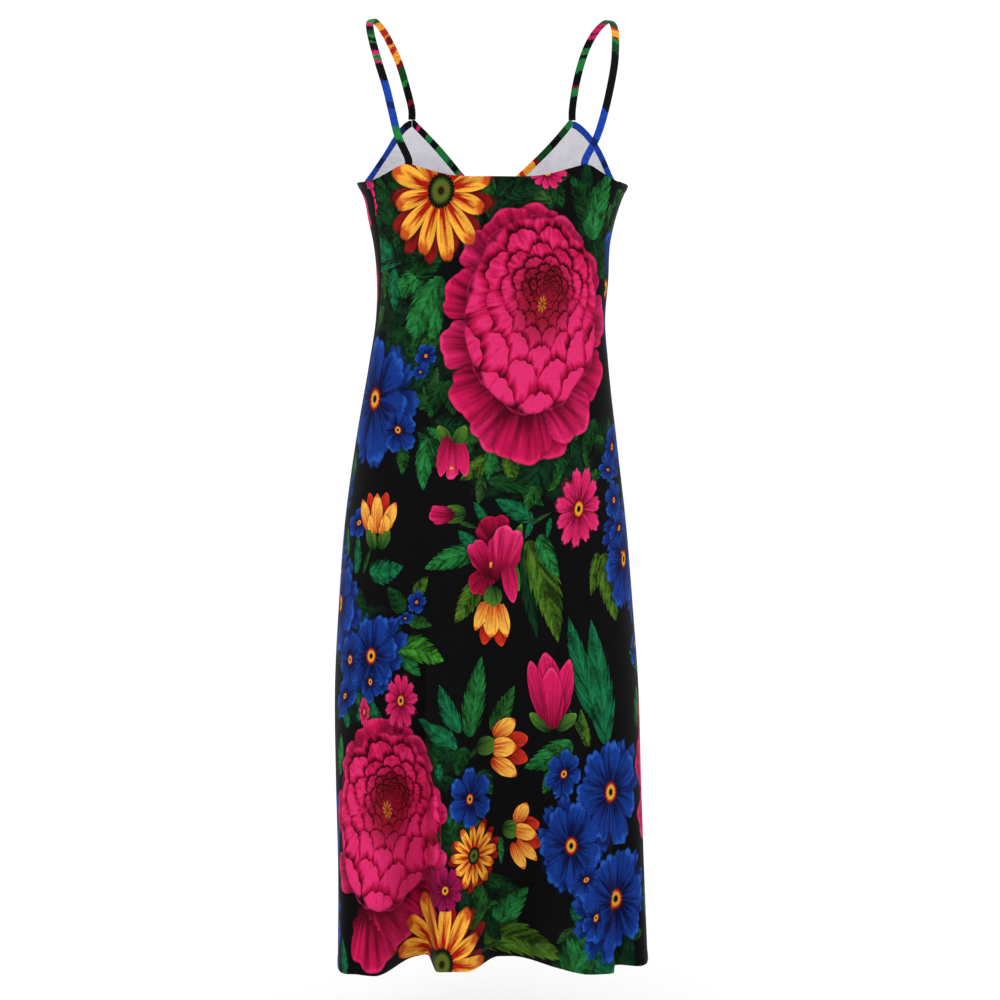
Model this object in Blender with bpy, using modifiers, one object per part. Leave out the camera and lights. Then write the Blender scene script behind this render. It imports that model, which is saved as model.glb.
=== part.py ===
"""Maxi slip dress, worn shape with no wearer in it.

Blender 4.5 script, metres, +Z up. The front of the dress faces -Y and the
wearer's left is +X. The origin is midway between the two shoulders, at the
underside of the strap crests. A "drop" is a distance down from there, so z is
minus the drop.

Each panel is one wall of cloth, lofted through level sections of the dress.
The rows run down the cloth and the columns split each section into equal
lengths of cloth, so the folds of the skirt come out of the panel's own width.
"""

import math

import bmesh
import bpy
import numpy as np
from mathutils import Vector

# Cloth and trim.
CLOTH = 0.0015
SEAM_GAP = 0.0003
HEM_DROP = 1.241
BAND_WIDTH = 0.0095
BAND_THICK = 0.0026
STRAP_WIDTH = 0.0100
STRAP_THICK = 0.0024
STRAP_TAB = 0.014

# Level sections of the dress. half_width is half the width across, sway how far
# the middle leans to +X, front and back the depths from the middle, square the
# exponent of the outline, 2 for an ellipse, and seam the y of the side seam.
SECTION_COLUMNS = ("drop", "half_width", "sway", "front", "back", "square", "seam")
SECTIONS = (
    (0.105, 0.162, -0.0012, 0.128, 0.088, 2.2, 0.039),
    (0.160, 0.173, -0.0062, 0.134, 0.094, 2.2, 0.041),
    (0.212, 0.181, -0.0020, 0.138, 0.098, 2.2, 0.043),
    (0.235, 0.1715, -0.0018, 0.140, 0.098, 2.2, 0.042),
    (0.262, 0.1645, 0.0000, 0.136, 0.096, 2.2, 0.039),
    (0.290, 0.1585, 0.0000, 0.126, 0.092, 2.2, 0.035),
    (0.340, 0.1548, -0.0010, 0.112, 0.086, 2.2, 0.028),
    (0.395, 0.1537, 0.0018, 0.103, 0.084, 2.2, 0.021),
    (0.447, 0.1597, 0.0040, 0.104, 0.092, 2.2, 0.016),
    (0.555, 0.1752, 0.0075, 0.112, 0.112, 2.3, 0.016),
    (0.662, 0.1888, 0.0090, 0.120, 0.128, 2.6, 0.017),
    (0.771, 0.1975, 0.0090, 0.127, 0.138, 3.0, 0.018),
    (0.880, 0.2038, 0.0083, 0.134, 0.147, 3.6, 0.019),
    (1.000, 0.2045, 0.0065, 0.141, 0.155, 4.4, 0.020),
    (1.118, 0.2045, 0.0034, 0.147, 0.160, 5.2, 0.021),
    (1.241, 0.2068, 0.0014, 0.153, 0.164, 6.0, 0.022),
)

# Troughs between the flutes of the skirt, at the hem. Going from +X to -X, the
# cloth turns in from start to full and out again from release to end; depth is
# how far in it goes, and top the drop at which the trough dies out.
FOLD_COLUMNS = ("start", "full", "release", "end", "depth", "top")
BACK_FOLDS = (
    (0.158, 0.104, 0.0880, 0.0745, 0.082, 0.60),
    (0.038, -0.008, -0.024, -0.104, 0.0645, 0.52),
    (0.120, 0.070, -0.085, -0.125, 0.019, 0.45),
    (-0.1530, -0.1590, -0.160, -0.208, 0.034, 0.93),
    (0.215, 0.210, 0.206, 0.178, -0.020, 0.90),
)
FRONT_FOLDS = (
    (0.170, 0.140, 0.118, 0.088, 0.046, 0.64),
    (0.064, 0.042, 0.012, -0.016, 0.058, 0.52),
    (-0.052, -0.080, -0.104, -0.130, 0.056, 0.60),
    (0.100, 0.050, -0.060, -0.110, 0.014, 0.45),
)
FOLD_GROWTH = 1.25

# Cups of the bodice, each a soft swelling of the front panel.
CUP_ACROSS = 0.084
CUP_DROP = 0.246
CUP_DEPTH = 0.020
CUP_HALF_WIDTH = 0.052
CUP_HALF_HEIGHT = 0.055

# Top edge of the back panel: across from the middle, and drop.
BACK_EDGE = (
    (0.000, 0.2106),
    (0.043, 0.2102),
    (0.060, 0.2085),
    (0.081, 0.2035),
    (0.100, 0.1978),
    (0.115, 0.1942),
    (0.122, 0.1948),
    (0.134, 0.2010),
    (0.148, 0.2082),
    (0.162, 0.2135),
)

PEAK_ACROSS = 0.1165
PEAK_REACH = 0.200

# Raw edge of the front panel, under its bands.
APEX_ACROSS = 0.1105
APEX_DROP = 0.1290
V_DROP = 0.2400
CORNER_ACROSS = 0.1715
ARMHOLE_DROP = 0.2245
ARMHOLE_HOLLOW = 1.45
CORNER_TILT = 0.0040
SIDE_DROP = 0.2235
TIP_CUT_DROP = 0.1195

# Rows and columns of the panels.
LEVEL_ROWS = (
    0.250, 0.266, 0.283, 0.305, 0.340, 0.385, 0.430, 0.480, 0.540, 0.605,
    0.675, 0.750, 0.825, 0.900, 0.975, 1.045, 1.110, 1.170, HEM_DROP,
)
BACK_EDGE_ROWS = 3
FRONT_EDGE_ROWS = 7
EDGE_REACH = 0.17
RING_POINTS = 320
SEAM_COLUMN = 0.006

# Middle line of a strap, from inside the back panel over the shoulder to the
# front. lean moves both straps to +X.
STRAP_ROUTE_COLUMNS = ("across", "y", "drop", "lean")
STRAP_ROUTE = (
    (0.1281, 0.0860, 0.1590, -0.0045),
    (0.1366, 0.0885, 0.1285, -0.0055),
    (0.1440, 0.0845, 0.0975, -0.0055),
    (0.1521, 0.0710, 0.0653, -0.0040),
    (0.1571, 0.0540, 0.0400, -0.0020),
    (0.1600, 0.0360, 0.0205, -0.0005),
    (0.1600, 0.0180, 0.0065, 0.0008),
    (0.1565, -0.0020, -0.0008, 0.0012),
    (0.1495, -0.0240, 0.0014, 0.0015),
    (0.1411, -0.0440, 0.0104, 0.0015),
    (0.1329, -0.0610, 0.0244, 0.0010),
    (0.1240, -0.0780, 0.0463, -0.0005),
    (0.1160, -0.0920, 0.0765, -0.0020),
)
STRAP_CENTRE = (0.125, -0.005, -0.085)
STRAP_POINTS = 42

PRINTED = (0.030, 0.028, 0.034, 1.0)
TRIM = (0.040, 0.045, 0.050, 1.0)


def clear_scene():
    """Remove every object, so that the script can be run again."""
    for thing in list(bpy.data.objects):
        bpy.data.objects.remove(thing, do_unlink=True)


def material(name, colour, roughness):
    """A plain finish."""
    made = bpy.data.materials.new(name)
    made.use_nodes = True
    shader = made.node_tree.nodes["Principled BSDF"]
    shader.inputs["Base Color"].default_value = colour
    shader.inputs["Roughness"].default_value = roughness
    shader.inputs["Metallic"].default_value = 0.0
    return made


def smoothstep(low, high, value):
    """0 up to low, 1 from high on, and an even curve between."""
    share = np.clip((value - low) / (high - low), 0.0, 1.0)
    return share * share * (3.0 - 2.0 * share)


def smooth_table(rows, at):
    """Values of a table's columns at the places at, on a smooth curve through its rows.

    The first column holds the places of the rows. The result has one row for
    each place.
    """
    rows = np.array(rows, float)
    place, values = rows[:, 0], rows[:, 1:]
    slopes = np.gradient(values, place, axis=0)
    at = np.clip(np.asarray(at, float), place[0], place[-1])
    low = np.clip(np.searchsorted(place, at, side="right") - 1, 0, len(place) - 2)
    step = place[low + 1] - place[low]
    share = ((at - place[low]) / step)[:, None]
    step = step[:, None]
    return (
        (2 * share**3 - 3 * share**2 + 1) * values[low]
        + (share**3 - 2 * share**2 + share) * step * slopes[low]
        + (-2 * share**3 + 3 * share**2) * values[low + 1]
        + (share**3 - share**2) * step * slopes[low + 1]
    )


def fold_depth(folds, ratio, drop):
    """How far the cloth turns in at each place.

    ratio is the distance across as a share of the section's half width, and
    drop the section's level.
    """
    hem_half = SECTIONS[-1][SECTION_COLUMNS.index("half_width")]
    depth = np.zeros(np.broadcast(ratio, drop).shape)
    for start, full, release, end, deep, top in folds:
        into = 1.0 - smoothstep(full / hem_half, start / hem_half, ratio)
        out = 1.0 - smoothstep(end / hem_half, release / hem_half, ratio)
        grown = np.clip((drop - top) / (HEM_DROP - top), 0.0, 1.0) ** FOLD_GROWTH
        depth += deep * grown * (into - out)
    return depth


def sections(is_back, drops):
    """Outlines of one panel at each drop, from the +X seam to the -X seam.

    Returns x and y, each with a row for each drop and RING_POINTS columns.
    """
    half, sway, front, back, square, seam = (
        column[:, None] for column in smooth_table(SECTIONS, drops).T
    )
    turn = np.linspace(0.0, 1.0, RING_POINTS)[None, :]
    behind_side = seam / back
    first = np.arctan2(behind_side, (1.0 - behind_side**square) ** (1 / square))
    if is_back:
        angle = first + turn * (math.pi - 2 * first)
    else:
        angle = first - turn * (math.pi + 2 * first)
    cosine, sine = np.cos(angle), np.sin(angle)
    radius = (np.abs(cosine) ** square + np.abs(sine) ** square) ** (-1 / square)
    ratio, depth = radius * cosine, radius * sine
    x = half * ratio
    drop = np.asarray(drops, float)[:, None]
    behind = smoothstep(0.0, 0.5, depth)
    before = smoothstep(0.0, 0.5, -depth)
    y = np.where(depth > 0, back * depth, front * depth)
    y = y - fold_depth(BACK_FOLDS, ratio, drop) * behind
    y = y + fold_depth(FRONT_FOLDS, ratio, drop) * before
    level = np.exp(-(((drop - CUP_DROP) / CUP_HALF_HEIGHT) ** 2))
    for side in (1.0, -1.0):
        swell = np.exp(-(((x - side * CUP_ACROSS) / CUP_HALF_WIDTH) ** 2))
        y = y - CUP_DEPTH * swell * level * before
    return x + sway, y


def cloth_points(is_back, shares, drops):
    """Points of one panel at shares of the section's length and at drops."""
    x, y = sections(is_back, drops)
    steps = np.hypot(np.diff(x, axis=1), np.diff(y, axis=1))
    run = np.concatenate([np.zeros((len(x), 1)), np.cumsum(steps, axis=1)], axis=1)
    inset = SEAM_GAP / 2
    points = np.empty((len(x), 3))
    for row in range(len(x)):
        at = inset + shares[row] * (run[row, -1] - 2 * inset)
        points[row, 0] = np.interp(at, run[row], x[row])
        points[row, 1] = np.interp(at, run[row], y[row])
    points[:, 2] = -np.asarray(drops, float)
    return points


def share_at(is_back, across, drop):
    """Share of the section's length from the +X seam to a place across from the middle."""
    x, y = sections(is_back, [drop])
    run = np.concatenate([[0.0], np.cumsum(np.hypot(np.diff(x[0]), np.diff(y[0])))])
    sway = smooth_table(SECTIONS, [drop])[0, 1]
    first = np.argmax(x[0])
    beyond = np.nonzero(x[0][first:] <= across + sway)[0][0] + first
    return run[beyond] / run[-1]


def cloth_normal(is_back, share, drop):
    """Direction out of the cloth at one place of a panel."""
    beside = cloth_points(is_back, np.array([share - 0.006, share + 0.006]), [drop, drop])
    below = cloth_points(is_back, np.array([share, share]), [drop, drop + 0.008])
    normal = np.cross(beside[1] - beside[0], below[1] - below[0])
    normal /= np.linalg.norm(normal)
    return normal if normal[1] * beside[0, 1] > 0 else -normal


def back_edge(shares):
    """Drop of the back panel's top edge at each column."""
    across = cloth_points(True, shares, np.full(len(shares), PEAK_REACH))[:, 0]
    sway = smooth_table(SECTIONS, [PEAK_REACH])[0, 1]
    return smooth_table(BACK_EDGE, np.abs(across - sway))[:, 0]


def front_edge(shares):
    """Drop of the front panel's raw edge at each column.

    The edge climbs from the side seam along the armhole to the apex of the cup
    and falls to the point of the V. Each drop follows from how far across the
    cloth is at that drop, so it is found in a few rounds.
    """
    corner_share = share_at(False, CORNER_ACROSS, ARMHOLE_DROP)
    corner_drops = ARMHOLE_DROP + CORNER_TILT * np.where(shares < 0.5, -1.0, 1.0)
    drops = np.full(len(shares), EDGE_REACH)
    for _ in range(8):
        points = cloth_points(False, shares, drops)
        across = np.abs(points[:, 0] - smooth_table(SECTIONS, drops)[:, 1])
        neck = V_DROP + (APEX_DROP - V_DROP) * (across / APEX_ACROSS) ** 1.06
        share = (across - APEX_ACROSS) / (CORNER_ACROSS - APEX_ACROSS)
        share = np.clip(share, 0.0, 1.0) ** ARMHOLE_HOLLOW
        armhole = APEX_DROP + (corner_drops - APEX_DROP) * share
        drops = np.where(across < APEX_ACROSS, neck, armhole)
    seam = np.minimum(shares, 1.0 - shares) / corner_share
    beside = SIDE_DROP + (corner_drops - SIDE_DROP) * np.clip(seam, 0.0, 1.0)
    return np.where(seam < 1.001, beside, drops)


def columns(*keys_and_counts):
    """Shares across a panel: half of it from (share, count) pairs, then mirrored."""
    half = [0.0]
    for share, count in keys_and_counts:
        half += list(np.linspace(half[-1], share, count + 1)[1:])
    return np.array(half + [1.0 - share for share in half[-2::-1]])


def panel_columns(is_back):
    """Shares of a panel's columns, and how many of them lead from a seam to its peak."""
    if is_back:
        peak = share_at(True, PEAK_ACROSS, PEAK_REACH)
        return columns((SEAM_COLUMN, 1), (peak, 10), (0.5, 17)), 11
    side = share_at(False, CORNER_ACROSS, ARMHOLE_DROP)
    apex = share_at(False, APEX_ACROSS, APEX_DROP)
    return columns((SEAM_COLUMN, 1), (side, 5), (apex, 8), (0.5, 9)), 14


def panel_grid(is_back):
    """Grid of a panel's outer face: rows from the top edge to the hem."""
    shares, _ = panel_columns(is_back)
    if is_back:
        top, edge_rows = back_edge(shares), BACK_EDGE_ROWS
    else:
        top, edge_rows = front_edge(shares), FRONT_EDGE_ROWS
    rows = [
        cloth_points(is_back, shares, top + (LEVEL_ROWS[0] - top) * step / edge_rows)
        for step in range(edge_rows)
    ]
    for drop in LEVEL_ROWS:
        rows.append(cloth_points(is_back, shares, np.full(len(shares), drop)))
    return np.array(rows)


def shade(thing, finish):
    """Give a mesh object its finish and smooth faces with sharp edges."""
    thing.data.materials.append(finish)
    thing.data.shade_smooth()
    thing.data.set_sharp_from_angle(angle=math.radians(40))
    return thing


def panel(name, is_back, finish, collection):
    """One panel of cloth: an open lofted face, thickened inwards."""
    grid = panel_grid(is_back)
    rows, across = grid.shape[:2]
    faces = []
    for row in range(rows - 1):
        for column in range(across - 1):
            first = row * across + column
            faces.append((first, first + across, first + across + 1, first + 1))
    if is_back:
        faces = [face[::-1] for face in faces]
    mesh = bpy.data.meshes.new(name)
    mesh.from_pydata([tuple(p) for p in grid.reshape(-1, 3)], [], faces)
    thing = bpy.data.objects.new(name, mesh)
    collection.objects.link(thing)
    shade(thing, finish)
    wall = thing.modifiers.new("cloth", "SOLIDIFY")
    wall.thickness = CLOTH
    wall.offset = -1.0
    wall.use_even_offset = False
    return thing


def rounded_strip(width, thick):
    """Outline of a flat strip: eight points as (along its width, along its normal)."""
    corner = thick * 0.30
    half_width, half_thick = width / 2, thick / 2
    return (
        (half_width, half_thick - corner),
        (half_width - corner, half_thick),
        (corner - half_width, half_thick),
        (-half_width, half_thick - corner),
        (-half_width, corner - half_thick),
        (corner - half_width, -half_thick),
        (half_width - corner, -half_thick),
        (half_width, corner - half_thick),
    )


def strip(name, middle, across, outward, outline, finish, collection, cuts=()):
    """A closed strip swept along middle.

    across and outward are the directions of the outline at each point. cuts are
    pairs of a point and a normal: what lies beyond each is cut away.
    """
    made = bmesh.new()
    rings = []
    for centre, wide, out in zip(middle, across, outward):
        ring = [made.verts.new(Vector(centre + wide * u + out * v)) for u, v in outline]
        rings.append(ring)
    count = len(outline)
    for before, after in zip(rings, rings[1:]):
        for index in range(count):
            other = (index + 1) % count
            made.faces.new((before[index], before[other], after[other], after[index]))
    made.faces.new(rings[0][::-1])
    made.faces.new(rings[-1])
    for point, normal in cuts:
        everything = made.verts[:] + made.edges[:] + made.faces[:]
        cut = bmesh.ops.bisect_plane(
            made,
            geom=everything,
            dist=1e-6,
            plane_co=Vector(point),
            plane_no=Vector(normal),
            clear_outer=True,
        )
        rim = [e for e in cut["geom_cut"] if isinstance(e, bmesh.types.BMEdge)]
        bmesh.ops.edgeloop_fill(made, edges=rim)
    bmesh.ops.recalc_face_normals(made, faces=made.faces[:])
    mesh = bpy.data.meshes.new(name)
    made.to_mesh(mesh)
    made.free()
    thing = bpy.data.objects.new(name, mesh)
    collection.objects.link(thing)
    return shade(thing, finish)


def unit(vectors):
    """Vectors scaled to length 1."""
    return vectors / np.linalg.norm(vectors, axis=-1, keepdims=True)


def edge_band(name, side, shares, cuts, finish, collection):
    """A bound edge of the front panel, lying on from its raw edge.

    The band runs through the panel's own columns at shares, counted from the
    side seam of its side, and stands up from the raw edge by its own width.
    """
    if side < 0:
        shares = 1.0 - shares
    drops = front_edge(shares)
    edge = cloth_points(False, shares, drops)
    below = cloth_points(False, shares, drops + 0.004)
    steps = unit(np.diff(edge, axis=0))
    along = unit(np.vstack([steps[:1], steps[:-1] + steps[1:], steps[-1:]]))
    turning = (along * np.vstack([steps, steps[-1:]])).sum(axis=1)
    stretch = 1.0 / np.maximum(turning, 0.6)
    down = unit(below - edge)
    outward = unit(np.cross(along, down))
    outward *= np.sign((outward * (edge - [0.0, 0.0, edge[0, 2]])).sum(axis=1))[:, None]
    upward = unit(np.cross(outward, along))
    upward *= -(stretch * np.sign((upward * down).sum(axis=1)))[:, None]
    middle = edge + upward * (SEAM_GAP + BAND_WIDTH / 2) - outward * (CLOTH / 2)
    before = middle[0] - (middle[1] - middle[0])
    after = middle[-1] + (middle[-1] - middle[-2])
    middle = np.vstack([before, middle, after])
    upward = np.vstack([upward[:1], upward, upward[-1:]])
    outward = np.vstack([outward[:1], outward, outward[-1:]])
    outline = rounded_strip(BAND_WIDTH, BAND_THICK)
    strip(name, middle, upward, outward, outline, finish, collection, cuts)


def bands(finish, collection):
    """Neck and armhole bands of the front, mitred at the V and at each apex."""
    shares, peak = panel_columns(False)
    middle = len(shares) // 2
    half_gap = SEAM_GAP / 2
    v_sway = smooth_table(SECTIONS, [V_DROP])[0, 1]
    apex_sway = smooth_table(SECTIONS, [APEX_DROP])[0, 1]
    tip = ((0.0, 0.0, -TIP_CUT_DROP), (0.0, 0.0, 1.0))
    for side, hand in ((1.0, "left"), (-1.0, "right")):
        at_apex = apex_sway + side * APEX_ACROSS
        neck_cuts = (
            ((v_sway + side * half_gap, 0.0, 0.0), (-side, 0.0, 0.0)),
            ((at_apex - side * half_gap, 0.0, 0.0), (side, 0.0, 0.0)),
            tip,
        )
        neck = shares[peak:middle + 1]
        edge_band("neck_band_" + hand, side, neck, neck_cuts, finish, collection)
        seam = cloth_points(False, np.array([0.0 if side > 0 else 1.0]), [SIDE_DROP])[0]
        arm_cuts = (
            ((at_apex + side * half_gap, 0.0, 0.0), (-side, 0.0, 0.0)),
            ((0.0, seam[1], 0.0), (0.0, 1.0, 0.0)),
            tip,
        )
        arm = shares[:peak + 1]
        edge_band("armhole_band_" + hand, side, arm, arm_cuts, finish, collection)


def smooth_path(points, count):
    """Evenly spaced points on a smooth curve through points."""
    points = np.array(points, float)
    gaps = np.sqrt(np.linalg.norm(np.diff(points, axis=0), axis=1))
    place = np.concatenate([[0.0], np.cumsum(gaps)])
    table = np.column_stack([place, points])
    fine = smooth_table(table, np.linspace(0.0, place[-1], 800))
    run = np.concatenate(
        [[0.0], np.cumsum(np.linalg.norm(np.diff(fine, axis=0), axis=1))]
    )
    at = np.linspace(0.0, run[-1], count)
    return np.column_stack([np.interp(at, run, fine[:, axis]) for axis in range(3)])


def strap(hand, side, finish, collection):
    """A shoulder strap: from a tab inside the back panel, over the shoulder, to the apex."""
    share = share_at(True, PEAK_ACROSS, PEAK_REACH)
    share = share if side > 0 else 1.0 - share
    edge = float(back_edge(np.array([share]))[0])
    inside = CLOTH + SEAM_GAP + STRAP_THICK / 2 + 0.0003
    facing = cloth_normal(True, share, edge)
    tab = []
    for drop in (edge + STRAP_TAB, edge + STRAP_TAB * 0.45, edge - 0.004):
        tab.append(cloth_points(True, np.array([share]), [drop])[0] - facing * inside)
    route = list(tab)
    for across, y, drop, lean in STRAP_ROUTE:
        route.append(np.array([side * across + lean, y, -drop]))
    apex_sway = smooth_table(SECTIONS, [APEX_DROP])[0, 1]
    foot_share = share_at(False, APEX_ACROSS, APEX_DROP)
    foot_share = foot_share if side > 0 else 1.0 - foot_share
    foot = cloth_points(False, np.array([foot_share]), [TIP_CUT_DROP])[0]
    foot_x = apex_sway + side * APEX_ACROSS
    for rise in (0.012, 0.0):
        height = -TIP_CUT_DROP + SEAM_GAP + rise
        route.append(np.array([foot_x, foot[1] + CLOTH / 2 + rise * 0.12, height]))
    middle = smooth_path(route, STRAP_POINTS)
    along = unit(np.gradient(middle, axis=0))
    along[-1] = (0.0, 0.0, -1.0)
    centre = np.array([side * STRAP_CENTRE[0], STRAP_CENTRE[1], STRAP_CENTRE[2]])
    outward = middle - centre
    outward[:, 0] *= 0.35
    outward = unit(outward)
    held = 1.0 - smoothstep(0.0, 0.030, middle[:, 2] - middle[0, 2])[:, None]
    outward = held * facing + (1.0 - held) * outward
    outward -= (outward * along).sum(axis=1)[:, None] * along
    outward = unit(outward)
    across = unit(np.cross(along, outward))
    outline = rounded_strip(STRAP_WIDTH, STRAP_THICK)
    strip("strap_" + hand, middle, across, outward, outline, finish, collection)


def main():
    """Build the dress, one object for each piece that a maker would cut."""
    clear_scene()
    dress = bpy.data.collections.new("maxi_dress")
    bpy.context.scene.collection.children.link(dress)
    printed = material("printed_jersey", PRINTED, 0.62)
    trim = material("printed_band", TRIM, 0.58)
    panel("back_panel", True, printed, dress)
    panel("front_panel", False, printed, dress)
    bands(trim, dress)
    strap("left", 1.0, trim, dress)
    strap("right", -1.0, trim, dress)


main()
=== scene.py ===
"""Looks of a sleeveless maxi slip dress in a flower print on black.

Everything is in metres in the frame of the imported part. The back of the dress
faces +Y, its front -Y, and the wearer's left is +X. A "drop" is a distance down
from the origin between the shoulders, so z is minus the drop.
"""

import logging
import math
from dataclasses import dataclass
from enum import Enum
from typing import NamedTuple, Sequence

import bmesh
import bpy
import numpy as np
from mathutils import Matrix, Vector


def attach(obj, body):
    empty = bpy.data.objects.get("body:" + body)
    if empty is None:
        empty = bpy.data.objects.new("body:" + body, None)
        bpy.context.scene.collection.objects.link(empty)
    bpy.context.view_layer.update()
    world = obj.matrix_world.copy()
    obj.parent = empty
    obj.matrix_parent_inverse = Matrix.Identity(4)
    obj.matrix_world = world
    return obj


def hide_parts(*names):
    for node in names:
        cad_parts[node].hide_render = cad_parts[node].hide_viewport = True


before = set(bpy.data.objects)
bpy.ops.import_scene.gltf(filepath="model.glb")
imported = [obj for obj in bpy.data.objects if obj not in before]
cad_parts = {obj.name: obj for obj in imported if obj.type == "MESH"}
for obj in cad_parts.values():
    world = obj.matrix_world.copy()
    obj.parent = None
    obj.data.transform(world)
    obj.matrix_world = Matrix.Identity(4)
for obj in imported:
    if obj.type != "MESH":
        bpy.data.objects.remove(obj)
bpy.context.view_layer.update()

log = logging.getLogger("dress")

CLOTH = 0.0012
SOLID_CLOTH = 0.0015
SEAM_GAP = 0.0003
STRIP_THICK = 0.0024
TIP_DROP = 0.1195
HEM_DROP = 1.241
MM_PER_M = 1000.0
SOFT_EDGE_ANGLE = math.radians(50)
STRIP_EDGE_ANGLE = math.radians(55)
KNIT_HEIGHT = 0.0002

Colour = tuple[float, float, float, float]
Stops = Sequence[tuple[float, Colour]]


class Side(Enum):
    """The two halves of the dress, by the sign of their x."""

    LEFT = 1.0
    RIGHT = -1.0

    @property
    def word(self) -> str:
        """The side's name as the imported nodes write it."""
        return self.name.lower()


class Face(Enum):
    """Which of the two panels a piece of cloth belongs to."""

    BACK = "back"
    FRONT = "front"


def smoothstep(low: float, high: float, value: np.ndarray) -> np.ndarray:
    """Ease from 0 to 1.

    Args:
        low: Where the result is still 0.
        high: Where the result has become 1.
        value: The places.

    Returns:
        0 up to low, 1 from high on, and an even curve between.
    """
    share = np.clip((value - low) / (high - low), 0.0, 1.0)
    return share * share * (3.0 - 2.0 * share)


def smooth_table(rows: Sequence[Sequence[float]], at: Sequence[float]) -> np.ndarray:
    """Read a table's columns on a smooth curve through its rows.

    Args:
        rows: The table; its first column holds the places of the rows.
        at: The places that are asked for.

    Returns:
        One row of the other columns for each place.
    """
    table = np.array(rows, float)
    place, values = table[:, 0], table[:, 1:]
    slopes = np.gradient(values, place, axis=0)
    where = np.clip(np.asarray(at, float), place[0], place[-1])
    low = np.clip(np.searchsorted(place, where, side="right") - 1, 0, len(place) - 2)
    step = place[low + 1] - place[low]
    share = ((where - place[low]) / step)[:, None]
    step = step[:, None]
    return (
        (2 * share**3 - 3 * share**2 + 1) * values[low]
        + (share**3 - 2 * share**2 + share) * step * slopes[low]
        + (-2 * share**3 + 3 * share**2) * values[low + 1]
        + (share**3 - share**2) * step * slopes[low + 1]
    )


def unit(vectors: np.ndarray) -> np.ndarray:
    """Scale vectors to length 1.

    Args:
        vectors: Vectors along the last axis.

    Returns:
        The same directions at length 1.
    """
    return vectors / np.linalg.norm(vectors, axis=-1, keepdims=True)


def run_length(*axes: np.ndarray) -> np.ndarray:
    """Measure along rows of points.

    Args:
        axes: The points' coordinates, each with the points along its last axis.

    Returns:
        The length from the first point to each.
    """
    steps = np.sqrt(sum(np.diff(axis) ** 2 for axis in axes))
    return np.concatenate([np.zeros((*steps.shape[:-1], 1)), np.cumsum(steps, axis=-1)], axis=-1)


def ink(red: int, green: int, blue: int) -> Colour:
    """Mix an ink.

    Args:
        red: Red on the screen, 0 to 255.
        green: Green.
        blue: Blue.

    Returns:
        The linear colour that a shader takes.
    """
    shares = [value / 255.0 for value in (red, green, blue)]
    linear = [s / 12.92 if s <= 0.04045 else ((s + 0.055) / 1.055) ** 2.4 for s in shares]
    return (linear[0], linear[1], linear[2], 1.0)


def inks(*mixes: tuple[int, int, int]) -> tuple[Colour, ...]:
    """Mix a row of inks."""
    return tuple(ink(*mix) for mix in mixes)


class Wire:
    """A shader socket that is used in Python expressions."""

    def __init__(self, bench: "Bench", socket: bpy.types.NodeSocket) -> None:
        """Hold a socket of the bench's material."""
        self.bench = bench
        self.socket = socket

    def math(self, operation: str, *others: "float | Wire", clamp: bool = False) -> "Wire":
        """Add a Math node.

        Args:
            operation: The node's operation.
            others: Its further values, after this one.
            clamp: Whether the result is held from 0 to 1.

        Returns:
            The node's result.
        """
        settings = {"operation": operation, "use_clamp": clamp}
        return self.bench.node("ShaderNodeMath", settings, (self, *others))

    def __add__(self, other: "float | Wire") -> "Wire":
        """Add a number or another socket."""
        return self.math("ADD", other)

    __radd__ = __add__

    def __sub__(self, other: "float | Wire") -> "Wire":
        """Subtract a number or another socket."""
        return self.math("SUBTRACT", other)

    def __rsub__(self, other: float) -> "Wire":
        """Subtract this socket from a number."""
        return self.bench.node("ShaderNodeMath", {"operation": "SUBTRACT"}, (other, self))

    def __mul__(self, other: "float | Wire") -> "Wire":
        """Multiply; a colour or vector is scaled.

        Args:
            other: A number or another socket.

        Returns:
            The product.
        """
        if self.socket.type in ("VECTOR", "RGBA"):
            values = {"Vector": self, "Scale": other}
            return self.bench.node("ShaderNodeVectorMath", {"operation": "SCALE"}, values)
        return self.math("MULTIPLY", other)

    __rmul__ = __mul__

    def __truediv__(self, other: "float | Wire") -> "Wire":
        """Divide by a number or another socket."""
        return self.math("DIVIDE", other)

    def __pow__(self, other: float) -> "Wire":
        """Raise to a power."""
        return self.math("POWER", other)

    def __abs__(self) -> "Wire":
        """Drop the sign."""
        return self.math("ABSOLUTE")

    def whole(self) -> "Wire":
        """Round down."""
        return self.math("FLOOR")

    def part(self) -> "Wire":
        """Keep what is behind the point."""
        return self.math("FRACT")

    def sine(self) -> "Wire":
        """Take the sine."""
        return self.math("SINE")

    def scaled(self, factor: "float | Wire", shift: "float | Wire") -> "Wire":
        """Multiply, add, and hold the result from 0 to 1."""
        return self.math("MULTIPLY_ADD", factor, shift, clamp=True)

    def fine(self, soft: float) -> "Wire":
        """Give 1 where this is above 0 and 0 below, with an edge as wide as soft."""
        return self.scaled(1.0 / soft, 0.5)


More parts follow.
